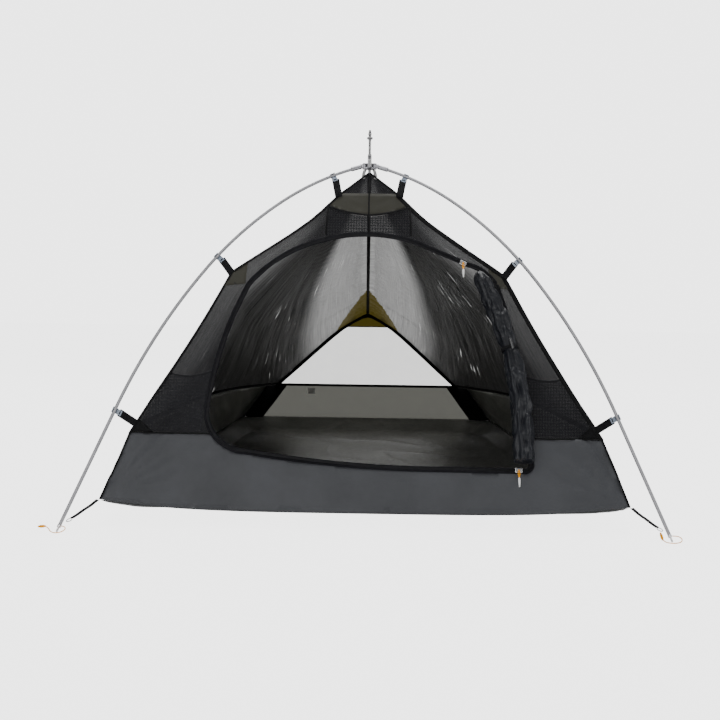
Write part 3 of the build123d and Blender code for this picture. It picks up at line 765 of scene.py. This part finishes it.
def light_share(angle, reach):
    """How much of the cloth is light-passing: a little all over, most in the wedge by the ridge and some
    near the front, where the raised share is painted light.
    """
    ridge = 1 - smoothstep(0.115, 0.20, angle)
    front = 0.62 * smoothstep(0.55, 1.15, angle) * smoothstep(0.1, 0.3, reach)
    front *= 1 - smoothstep(0.45, 1.15, reach)
    return 0.012 + 0.38 * max(ridge * smoothstep(-0.25, 0.65, reach), front)


def painted_highlight_share(angle, reach, seed):
    """Where the painted highlights along the folds may show, in loose clusters."""
    cluster = smoothstep(-0.05, 0.3, noise.noise(Vector((math.log(angle) * 2.3, reach * 2.1, seed + 31))))
    return 0.95 * (0.1 + 0.9 * cluster)


for name, side in (("left", -1), ("right", 1)):
    seed = 11.0 if side > 0 else 57.0
    smooth_rows, fan, passing, painted_highlight_mask = [], [], [], []
    for i in range(ALONG + 1):
        along = i / ALONG
        smooth_row = [canopy_point(along, j / UP) for j in range(UP + 1)]
        smooth_rows.append(smooth_row)
    grid = np.array(smooth_rows)
    grid[:, :, 0] *= side
    ahead = np.gradient(grid, axis=0)
    upward = np.gradient(grid, axis=1)
    normal = np.cross(upward, ahead) * side
    normal /= np.linalg.norm(normal, axis=2)[:, :, None]
    moved = grid.copy()
    for i in range(ALONG + 1):
        for j in range(UP + 1):
            angle, reach = fan_place(smooth_rows[i][j])
            moved[i, j] -= normal[i, j] * wrinkle(i / ALONG, j / UP, angle, reach, seed)
            fan.append((math.log(angle) * 36 + seed, reach * 4))
            # painted light: the light-passing share, raised by the ridge and near the front, and where
            # painted highlights may show
            passing.append(light_share(angle, reach))
            painted_highlight_mask.append(painted_highlight_share(angle, reach, seed))
    # the lowest row tucks down inside the bathtub's top edge
    moved[:, 0] += (grid[:, 0] - grid[:, 1]) * 1.6 + np.array((-side * 2.5, 0, 0))
    wall_data = grid_data(f"side_wall_cloth_{name}", moved * MM)
    set_uv(wall_data, "fan", fan)
    # point attributes that carry the painted light and the painted highlights to the material
    for layer_name, values in (("painted_light_through", passing), ("painted_highlight_mask", painted_highlight_mask)):
        wall_data.attributes.new(layer_name, "FLOAT", "POINT").data.foreach_set("value", values)
    cloths = [M["canopy"], M["olive_light"]]
    wall = finish_piece(f"side_wall_cloth_{name}", wall_data, cloths, "tent")
    for k, face in enumerate(wall_data.polygons):
        along, up = (k // UP) / ALONG, (k % UP) / UP
        face.material_index = int(along > 0.80 + 0.9 * (1 - up))
    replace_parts(wall, f"side_wall_{name}")

    tub = []
    for i in range(81):
        row = []
        for j in range(13):
            up = j / 12
            ends = [station_point(k, *(np.array(BATHTUB[k][0]) * (1 - up) + np.array(BATHTUB[k][1]) * up))
                    for k in range(4)]
            point = hermite(ends, STATION_KNOTS, i / 80)
            bulge = 5 * math.sin(math.pi * up) * noise.noise(Vector((i / 9, up * 2, seed)))
            bulge += 2.5 * crests(i / 5 + up * 2, up, seed) * up * (1 - up) * 4
            row.append(((point[0] - bulge) * side * MM, point[1] * MM, point[2] * MM))
        tub.append(row)
    tub_data = grid_data(f"side_bathtub_cloth_{name}", tub)
    # outside faces away from the middle of the tent
    mats = [M["sill"], M["inside"]] if side < 0 else [M["inside"], M["sill"]]
    tub_piece = finish_piece(f"side_bathtub_cloth_{name}", tub_data, mats, "tent")
    shell(tub_piece, 0.0008, 1, 0)
    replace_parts(tub_piece, f"side_bathtub_{name}")

# ---------------------------------------------------------------- floor

REST = [(540, -870), (535, 120), (505, 700), (455, 930)]


def rim_x(y):
    return float(np.interp(y, (-1095, 120, 700, 1085), (656, 610, 575, 554)))


def rest_x(y):
    return float(np.interp(y, [p[1] for p in REST], [p[0] for p in REST]))


def floor_point(x_share, along):
    front_y = FRONT_LEAN[0] + FRONT_LEAN[1] * edge_height(x_share * CORNER[0])
    rear_y = REAR_LEAN[0] + REAR_LEAN[1] * 39
    y = front_y + (rear_y - front_y) * along
    x = x_share * rim_x(y)
    side_rise = min(max((abs(x) - rest_x(y)) / (rim_x(y) - rest_x(y)), 0), 1)
    front_rise = min(max((-870 - y) / 225, 0), 1)
    rear_rise = min(max((y - 930) / 155, 0), 1)
    rise = max(side_rise, front_rise, rear_rise)
    z = 38.5 * rise + (edge_height(x_share * CORNER[0]) - SILL_BOTTOM) * front_rise ** 2
    slack = 1.5 + 3.0 * noise.noise(Vector((x / 170, y / 240, 7)))
    slack += 5 * crests(x / 210 + y / 500, y / 420, 3.3) ** 3
    inner = smoothstep(0, 0.04, along) * smoothstep(0, 0.04, 1 - along)
    inner *= smoothstep(0, 0.06, 1 - abs(x_share))
    return x * MM, y * MM, (z + max(slack, 0.4) * inner + 0.5) * MM


floor_rows = [[floor_point(-1 + 2 * j / 120, i / 150) for j in range(121)] for i in range(151)]
floor_piece = finish_piece("floor_cloth", grid_data("floor_cloth", floor_rows), [M["floor"], M["sill"]],
                           "tent")
shell(floor_piece, 0.0005, 1, -1)
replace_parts(floor_piece, "floor")

# ---------------------------------------------------------------- rear wall


def rear_panel(name, outline, out, material, step=14):
    def place(x, z):
        wave = 2.5 * noise.noise(Vector((x / 140, z / 90, 21))) * smoothstep(0, 30, z - 190)
        return on_rear(x, z, out + wave)
    return finish_piece(name, region_data(name, outline, [], step, place), material, "tent")


rear_outline = [(398, 190), (318, 268), (236, 344), (154, 417), (98, 455), (-98, 455), (-154, 417),
                (-236, 344), (-318, 268), (-398, 190)]
rear_piece = rear_panel("rear_wall_cloth", rear_outline, -2.2, M["rear"])
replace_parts(rear_piece, "rear_wall")
apex_outline = [(98, 455), (50, 488), (4, 507), (-4, 507), (-50, 488), (-98, 455)]
apex_piece = rear_panel("rear_apex_cloth", apex_outline, -2.0, M["olive_light"], 8)

tub_outline = [(556, 30), (440, 194), (-440, 194), (-556, 30)]
rear_tub = rear_panel("rear_bathtub_cloth", tub_outline, -2.4, M["rear_tub"])
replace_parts(rear_tub, "rear_bathtub")


def strip_between(name, pairs, material, thickness=0.8):
    """Tape whose two edges are given as pairs of points in metres."""
    rows = [[Vector(a).lerp(Vector(b), j / 3) for j in range(4)] for a, b in pairs]
    return tape_piece(name, rows, material, thickness * MM)


def rear_band(name, line, width, out, material=None):
    pairs = []
    for i, here in enumerate(line):
        before, after = line[max(i - 1, 0)], line[min(i + 1, len(line) - 1)]
        along = Vector((after[0] - before[0], after[1] - before[1])).normalized()
        pairs.append((on_rear(here[0] - along.y * width / 2, here[1] + along.x * width / 2, out),
                      on_rear(here[0] + along.y * width / 2, here[1] - along.x * width / 2, out)))
    return strip_between(name, pairs, material or M["binding"])


# black arched binding along both rear seams and across the apex, and one along the panel's foot
arch = [(-404, 188), (-318, 265), (-236, 340), (-158, 410), (-112, 448), (-60, 482), (-24, 500), (0, 506),
        (24, 500), (60, 482), (112, 448), (158, 410), (236, 340), (318, 265), (404, 188)]
rear_band("rear_arch_binding", arch, 17, -5.5)
rear_band("rear_panel_hem", [(-434, 190), (-200, 190), (0, 190), (200, 190), (434, 190)], 11, -5.0)
rear_band("rear_panel_top_seam", [(-98, 456), (0, 456), (98, 456)], 4, -4.5, M["olive"])

# wide black strips over the rear corners of the bathtub
for name, side in (("left", -1), ("right", 1)):
    rows = []
    for i in range(15):
        t = i / 14
        center_x, center_z = 432 + t * 116, 194 - t * 156
        row = []
        for j in range(9):
            s = j / 8 - 0.5
            puff = 8 * math.cos(math.pi * s) * (0.5 + 0.5 * math.sin(math.pi * t))
            puff += 2 * math.sin(9 * t + 6 * s) + 30 * max(0, s) ** 1.5
            row.append(on_rear(side * (center_x + s * 96 - 26), center_z + s * 14, -8 - puff))
        rows.append(row)
    tape_piece(f"rear_corner_strip_{name}", rows, M["binding"], 0.001)

# ---------------------------------------------------------------- seams and bindings inside

ridge_pairs = []
for i in range(61):
    point = canopy_point(i / 60, 1.0) * MM
    ridge_pairs.append(((-0.006, point[1], point[2] - 0.004), (0.006, point[1], point[2] - 0.004)))
strip_between("ridge_seam_tape", ridge_pairs, M["binding"], 1.0)
for name, side in (("left", -1), ("right", 1)):
    pairs = []
    for i in range(81):
        low, high = canopy_point(i / 80, 0.0), canopy_point(i / 80, 0.024)
        pairs.append((Vector((side * (low[0] - 3), low[1], low[2])) * MM,
                      Vector((side * (high[0] - 3), high[1], high[2])) * MM))
    strip_between(f"bathtub_top_tape_{name}", pairs, M["binding"])

# ------------------------------------------------------- patches, bands and pockets on the front wall


def front_patch(name, outline, out, material, step=8, thickness=0.4):
    piece = finish_piece(name, region_data(name, outline, [], step, lambda x, z: on_wall(x, z, out)),
                         material, "tent")
    return shell(piece, thickness * MM, 0, 0) if thickness else piece


for name, side in (("left", -1), ("right", 1)):
    upper = [(side * x, z) for x, z in ((366, 638), (324, 664), (328, 607), (386, 600))]
    front_patch(f"strap_patch_upper_{name}", upper, 1.2, M["olive"])
    lower = [(side * x, z) for x, z in ((602, 224), (582, 258), (540, 224))]
    front_patch(f"strap_patch_lower_{name}", lower, 1.2, M["binding"])

olive_band = [(-112, 830), (-96, 847), (-82, 862), (82, 862), (96, 847), (112, 830),
              (60, 806), (0, 800), (-60, 806)]
front_patch("olive_band", olive_band, 1.3, M["olive"])

pocket_top = [(x, 800 + 24 * (abs(x) / 114) ** 1.6) for x in range(114, -115, -19)]
pocket_outline = [(-118, 744), (-60, 747), (0, 748), (60, 747), (118, 742), *pocket_top]
overhead = finish_piece("overhead_pocket_mesh",
                        region_data("overhead_pocket_mesh", pocket_outline, [], 9,
                                    lambda x, z: on_wall(x, z, -6 - 3 * math.sin(math.pi * (z - 742) / 84))),
                        M["pocket_net"], "tent")
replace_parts(overhead, "overhead_pocket")
band_on_front("overhead_pocket_hem", pocket_top, -2.5, 2.5, 2.0, M["binding"])
for name, side in (("left", -1), ("right", 1)):
    seam = [(side * 116, 744), (side * 115, 780), (side * 113, 822)]
    band_on_front(f"overhead_pocket_side_{name}", seam, -2, 2, 2.0, M["binding"])
center_seam = [(0, 750), (0, 800), (0, 860), (0, 920)]
band_on_front("front_center_seam", center_seam, -1.8, 1.8, 2.4, M["binding"])

pockets = []
for name, side in (("left", -1), ("right", 1)):
    hem = [(side * (404 + 108 * t), 378 - 6 * t - 9 * math.sin(math.pi * t)) for t in np.linspace(0, 1, 13)]
    outline = [(side * 420, 228), (side * 585, 228), *reversed(hem)]
    data = region_data(f"corner_pocket_{name}", outline, [], 10,
                       lambda x, z: on_wall(x, z, -3.5 - 5 * smoothstep(0, 1, (z - 228) / 150)))
    piece = finish_piece(f"corner_pocket_{name}", data, M["pocket_net"], "tent")
    pockets.append(piece)
    band_on_front(f"corner_pocket_hem_{name}", hem, -2.5, 2.5, -5.5, M["binding"])
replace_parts(pockets[0], "corner_pockets")
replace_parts(pockets[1], "corner_pockets")

# ---------------------------------------------------------------- rolled door

ROLL_OUT = 28
ROLL_ARC = ((292, 634), (372, 430), (396, 160))
TIE_AT = 0.43
roll_line = [on_front(x, z, ROLL_OUT) for x, z in arc_points(*ROLL_ARC, 160)]


def roll_radius(t, angle):
    size = float(np.interp(t, (0, 0.015, 0.06, 0.2, 0.38, TIE_AT, 0.52, 0.66, 0.9, 1.0),
                           (9, 15, 21, 24, 25, 20.5, 25, 27, 27, 26)))
    pleats = 0.07 * math.cos(5 * angle + 3 * t) + 0.05 * math.cos(8 * angle - 5 * t + 1.3)
    pleats += 0.22 * noise.noise(Vector((math.cos(angle) * 1.9, math.sin(angle) * 1.9, t * 17)))
    pleats -= 0.16 * crests(angle * 1.2 + t * 5, t * 9, 71) ** 2
    pinch = 1 - math.exp(-((t - TIE_AT) / 0.05) ** 2)
    flap = ((angle - 2.2 - 0.6 * math.sin(2.2 * t)) / (2 * math.pi)) % 1.0
    return size * (1 + pleats * (0.35 + 0.65 * pinch)) + 3.0 * flap * pinch - 1.5


roll_rows = []
for i, center in enumerate(roll_line):
    ahead = (roll_line[min(i + 1, 160)] - roll_line[max(i - 1, 0)]).normalized()
    sideways = ahead.cross(FRONT_OUT).normalized()
    t = i / 160
    row = []
    for j in range(72):
        angle = 2 * math.pi * j / 72
        radius = roll_radius(t, angle)
        outward = math.sin(angle) * radius
        flat_back = max(outward, -ROLL_OUT + 4.5)
        row.append(center + (sideways * math.cos(angle) * radius + FRONT_OUT * flat_back) * MM)
    roll_rows.append(row)
for end, first in ((0, True), (160, False)):
    base = roll_rows[0] if first else roll_rows[-1]
    middle = sum(base, Vector()) / len(base)
    inward = (roll_line[3] - roll_line[0]).normalized() * (1 if first else -1)
    for k, share in enumerate((0.7, 0.35, 0.02)):
        ring = [middle.lerp(p, share) + inward * (0.003 if k % 2 == 0 else 0.0005) for p in base]
        roll_rows.insert(0, ring) if first else roll_rows.append(ring)
roll_data = grid_data("rolled_door", roll_rows, closed=True)
roll = finish_piece("rolled_door", roll_data, M["roll"], "tent")
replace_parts(roll, "door_roll")

tie_index = round(TIE_AT * 160)
tie_center = roll_line[tie_index]
tie_ahead = (roll_line[tie_index + 1] - roll_line[tie_index - 1]).normalized()
tie_side = tie_ahead.cross(FRONT_OUT).normalized()
tie_rows = []
for i in range(49):
    angle = 2 * math.pi * i / 48
    out = tie_side * math.cos(angle) * 22.2 + FRONT_OUT * max(math.sin(angle) * 22.2, -22)
    tie_rows.append([tie_center + (out + tie_ahead * w) * MM for w in (-4.5, -1.5, 1.5, 4.5)])
tie = tape_piece("door_tie_band", tie_rows, M["webbing"], 0.0012)
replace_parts(tie, "door_tie")
LOOP_ROUTE = ((22, -3), (26, -3.5), (29.5, 0), (26, 3.5), (22, 3))
loop = [tie_center + (FRONT_OUT * d + tie_side * s) * MM for d, s in LOOP_ROUTE]
curve_piece("toggle_loop", [loop], 0.0011, M["binding"], "tent", kind="NURBS")


# ---------------------------------------------------------------- webbing straps, from their CAD solids


def islands(name):
    """Corner points of each separate solid of a CAD node of plain boxes, as arrays in metres."""
    data = NODES[name].data
    keys, index = {}, []
    for vertex in data.vertices:
        key = tuple(round(c, 5) for c in vertex.co)
        index.append(keys.setdefault(key, len(keys)))
    parent = list(range(len(keys)))

    def root(i):
        while parent[i] != i:
            i = parent[i]
        return i

    for edge in data.edges:
        a, b = root(index[edge.vertices[0]]), root(index[edge.vertices[1]])
        parent[a] = b
    groups = {}
    for key, i in keys.items():
        groups.setdefault(root(i), []).append(key)
    return [np.array(group) for group in groups.values()]


def strap_frame(points):
    """Outer end, inner end and width direction of a long box."""
    center = points.mean(0)
    _, _, axes = np.linalg.svd(points - center)
    reach = (points - center) @ axes[0]
    start, end = Vector(points[reach < 0].mean(0)), Vector(points[reach >= 0].mean(0))
    if abs(start.x) < abs(end.x):
        start, end = end, start
    return start, end, Vector(axes[1]).normalized()


def strap_piece(name, start, end, across, width, replaced):
    """Webbing with rounded edges and a slight sag."""
    ahead = (end - start)
    length = ahead.length
    ahead.normalize()
    flat = ahead.cross(across).normalized()
    rows = []
    for i in range(25):
        t = i / 24
        sag = 0.0012 * math.sin(math.pi * t) + 0.0004 * math.sin(11 * t)
        at = start + ahead * length * t
        rows.append([at + across * width * s + flat * (sag - 0.0008 * (2 * s) ** 4) for s in
                     (-0.5, -0.42, -0.25, 0, 0.25, 0.42, 0.5)])
    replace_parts(tape_piece(name, rows, M["webbing"], 0.0013), replaced)
    return ahead, flat, length


def tack_lines(name, start, ahead, across, flat, width, places):
    """Bar tacks: short raised zigzags of thread across the webbing."""
    lines = []
    for place in places:
        line = []
        for i in range(17):
            s = -0.42 + 0.84 * i / 16
            zigzag = place + (0.0009 if i % 2 else -0.0009)
            line.append(start + ahead * zigzag + across * width * s + flat * 0.0009)
        lines.append(line)
    return curve_piece(name, lines, 0.00035, M["tape"], "tent")


# each kind of strap: width, how far it reaches past its CAD box at either end, and its bar tacks
STRAPS = {
    "clip": (0.020, (0.007, 0.012), (0.006, 0.009, -0.006)),
    "foot": (0.012, (0.0, 0.0), (0.005, 0.007)),
}
for kind, (width, (past_start, past_end), tacks) in STRAPS.items():
    boxes = sorted(islands(f"{kind}_straps"), key=lambda p: (p[:, 1].mean(), p[:, 0].mean()))
    for i, points in enumerate(boxes):
        start, end, across = strap_frame(points)
        reach = (end - start).normalized()
        start, end = start - reach * past_start, end + reach * past_end
        strap_name = f"{kind}_strap_{i + 1}"
        ahead, flat, length = strap_piece(strap_name, start, end, across, width, f"{kind}_straps")
        places = [place if place > 0 else length + place for place in tacks]
        tack_lines(f"{kind}_strap_tack_{i + 1}", start, ahead, across, flat, width, places)

# hanger loops from the front hub to the apex of the front wall
for name, side in (("left", -1), ("right", 1)):
    pairs = []
    for i in range(13):
        t = i / 12
        low, high = on_front(side * 17, 904, 1.5), Vector((side * 0.0125, -0.716, 0.931))
        at = low.lerp(high, t) + Vector((side * 0.0015 * math.sin(math.pi * t), 0, 0))
        pairs.append((at - Vector((0.0045, 0, 0)), at + Vector((0.0045, 0, 0))))
    strip_between(f"hanger_loop_{name}", pairs, M["hanger"], 0.5)

# ---------------------------------------------------------------- zip pulls

PULL_LENGTH = 0.046
for name in ("top", "bottom"):
    low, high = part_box(f"zip_pull_{name}")
    middle = (low + high) / 2
    head = Vector((middle.x, high.y, high.z))
    foot = Vector((middle.x, low.y, low.z))
    down = (foot - head).normalized()
    across = Vector((1, 0, 0))
    out = FRONT_OUT
    head = head + out * 0.0005
    strand_route = ((0, 0.0002), (0.006, 0.0022), (0.014, 0.0018), (0.021, 0.0004))
    strands = [[head + down * d + across * side * w for d, w in strand_route] for side in (-1, 1)]
    cord_piece = curve_piece(f"zip_pull_cord_{name}", strands, 0.0011, M["yellow"], f"{name}_pull",
                             kind="NURBS")
    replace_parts(cord_piece, f"zip_pull_{name}")
    rows = []
    for i in range(31):
        t = i / 30
        radius = (0.0016 + 0.0014 * smoothstep(0, 0.12, t)) * (1 - 0.45 * smoothstep(0.3, 1, t))
        radius *= 1.0 if t < 0.97 else 0.7
        radius += 0.00018 * math.cos(t * 60) * (t < 0.55)
        at = head + down * (0.0205 + (PULL_LENGTH - 0.0215) * t)
        rows.append([at + (across * math.cos(a) * radius + out * math.sin(a) * radius * 0.8)
                     for a in (2 * math.pi * k / 20 for k in range(20))])
    rows.insert(0, [(sum(rows[0], Vector()) / 20).lerp(p, 0.05) for p in rows[0]])
    rows.append([(sum(rows[-1], Vector()) / 20).lerp(p, 0.05) for p in rows[-1]])
    tip_piece = finish_piece(f"zip_pull_tip_{name}", grid_data(f"zip_pull_tip_{name}", rows, closed=True),
                             M["white_tip"], f"{name}_pull")
    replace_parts(tip_piece, f"zip_pull_{name}")

# ---------------------------------------------------------------- foot cords

FOOT_CORDS = {
    "left": [(9.6, 5.6, 14), (18, 3, 14), (23, -6, 9), (14, -17, 4), (0, -19, 2.2),
             (-12, -14, 5), (-18, -6, 11), (-27, -2, 15), (-38, -1, 14)],
    "right": [(1.8, 5.6, 14), (14, 5, 14.5), (23, -3, 10), (19, -15, 4.5), (6, -20, 2.3),
              (-8, -20, 2.2), (-20, -17, 3.5), (-27, -14, 10), (-30, -13, 19)],
}
FOOT_AT = {"left": (-736.94, -1187.73), "right": (736.94, -1187.73)}
CORD_THICKNESS = 0.0022
for name, route in FOOT_CORDS.items():
    foot_x, foot_y = FOOT_AT[name]
    line = [(Vector((foot_x + x, foot_y + y, z)) * MM) for x, y, z in route]
    cord = curve_piece(f"foot_cord_{name}", [line], CORD_THICKNESS / 2, M["yellow"], f"front_{name}_foot",
                       kind="NURBS")
    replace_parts(cord, f"front_{name}_foot_cord")
    tail = (line[-1] - line[-2]).normalized()
    square = tail.orthogonal().normalized()
    other = tail.cross(square)
    rows = []
    for i in range(19):
        t = i / 18
        radius = 0.0016 + 0.0018 * math.sin(math.pi * min(1, t * 1.05)) ** 0.7 + 0.0003 * math.cos(20 * t)
        at = line[-1] - tail * 0.012 + tail * 0.019 * t
        rows.append([at + (square * math.cos(a) + other * math.sin(a)) * radius
                     for a in (2 * math.pi * k / 16 for k in range(16))])
    for end, where in ((0, 0), (-1, len(rows) + 1)):
        ring = rows[end]
        rows.insert(where, [(sum(ring, Vector()) / 16).lerp(p, 0.05) for p in ring])
    end_piece = finish_piece(f"foot_cord_end_{name}", grid_data(f"foot_cord_end_{name}", rows, closed=True),
                             M["yellow"], f"front_{name}_foot")

# care tag inside the rear wall's foot
tag_rows = [[on_rear(-262 + 30 * i / 8, 178 - 26 * j / 6, -9 - 3 * math.sin(j / 3)) for i in range(9)]
            for j in range(7)]
tape_piece("care_tag", tag_rows, M["tag"], 0.0004)

# ---------------------------------------------------------------- materials of the CAD nodes that stay

KEPT = {
    "pole": ("pole_upper", "pole_foot", "ridge_pole"), "brow": ("brow_pole",), "hub": ("hub", "swivel"),
    "tip": ("tip", "ferrules"), "steel": ("foot_rings", "pins", "zip_slider"),
    "fitting": ("brow_fittings", "shock_cord"), "socket": ("brow_socket",), "clip": ("pole_clips",),
    "toggle": ("toggle",), "chain": ("door_zip",),
}
for key, piece in NODES.items():
    for material, words in KEPT.items():
        if any(word in key for word in words):
            chosen = M[material]
    for material_slot in piece.material_slots:
        material_slot.material = chosen

# ---------------------------------------------------------------- stage and light

floor_data = bpy.data.meshes.new("studio_floor")
FLOOR_REACH, FLOOR_LEVEL = 20, -0.0005
floor_corners = [(x * FLOOR_REACH, y * FLOOR_REACH, FLOOR_LEVEL)
                 for x, y in ((-1, -1), (1, -1), (1, 1), (-1, 1))]
floor_data.from_pydata(floor_corners, [], [(0, 1, 2, 3)])
studio = bpy.data.objects.new("studio_floor", floor_data)
bpy.context.scene.collection.objects.link(studio)
studio_material, studio_tree, studio_shader = new_material("studio_white", (0.86, 0.86, 0.86), 0.9)
studio_shader.inputs["Emission Color"].default_value = (1, 1, 1, 1)
studio_shader.inputs["Emission Strength"].default_value = 0.25
# the floor glows softly in the picture, so that it stays pale to its far edge
glow = node(studio_tree, "ShaderNodeEmission")
glow.inputs["Strength"].default_value = 3.9
seen_floor, floor_rays = node(studio_tree, "ShaderNodeMixShader"), node(studio_tree, "ShaderNodeLightPath")
share = maths(studio_tree, "MULTIPLY", floor_rays.outputs["Is Camera Ray"], 0.85)
studio_tree.links.new(share, seen_floor.inputs[0])
studio_tree.links.new(studio_shader.outputs[0], seen_floor.inputs[1])
studio_tree.links.new(glow.outputs[0], seen_floor.inputs[2])
studio_tree.links.new(seen_floor.outputs[0], studio_tree.nodes["Material Output"].inputs["Surface"])
floor_data.materials.append(studio_material)
studio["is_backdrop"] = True


def area_light(name, at, target, size, power, tone=(1, 1, 1)):
    data = bpy.data.lights.new(name, "AREA")
    data.shape = "RECTANGLE"
    data.size, data.size_y = size
    data.energy = power
    data.color = tone
    light = bpy.data.objects.new(name, data)
    light.location = at
    light.rotation_euler = (Vector(target) - Vector(at)).to_track_quat("-Z", "Y").to_euler()
    bpy.context.scene.collection.objects.link(light)


area_light("top_light", (0, 0.3, 3.6), (0, 0, 0), (3.0, 3.0), 170)
area_light("back_light", (0, 4.0, 2.6), (0, 0, 0.5), (4.0, 2.0), 110)
area_light("front_light", (-1.2, -4.6, 2.6), (0, -0.8, 0.4), (3.0, 2.0), 70)
area_light("side_fill", (3.6, -2.0, 1.8), (0, -0.5, 0.4), (2.0, 2.0), 35)

world = bpy.data.worlds.new("studio")
bpy.context.scene.world = world
world.use_nodes = True
tree = world.node_tree
tree.nodes.clear()
seen, lit = node(tree, "ShaderNodeBackground"), node(tree, "ShaderNodeBackground")
seen.inputs["Color"].default_value = (1, 1, 1, 1)
seen.inputs["Strength"].default_value = 3.5
lit.inputs["Color"].default_value = (1, 1, 1, 1)
lit.inputs["Strength"].default_value = 0.36
rays = node(tree, "ShaderNodeLightPath")
mix = node(tree, "ShaderNodeMixShader")
output = node(tree, "ShaderNodeOutputWorld")
tree.links.new(rays.outputs["Is Camera Ray"], mix.inputs[0])
tree.links.new(lit.outputs[0], mix.inputs[1])
tree.links.new(seen.outputs[0], mix.inputs[2])
tree.links.new(mix.outputs[0], output.inputs["Surface"])

boxes = {"cad": cad_box, "visual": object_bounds()}
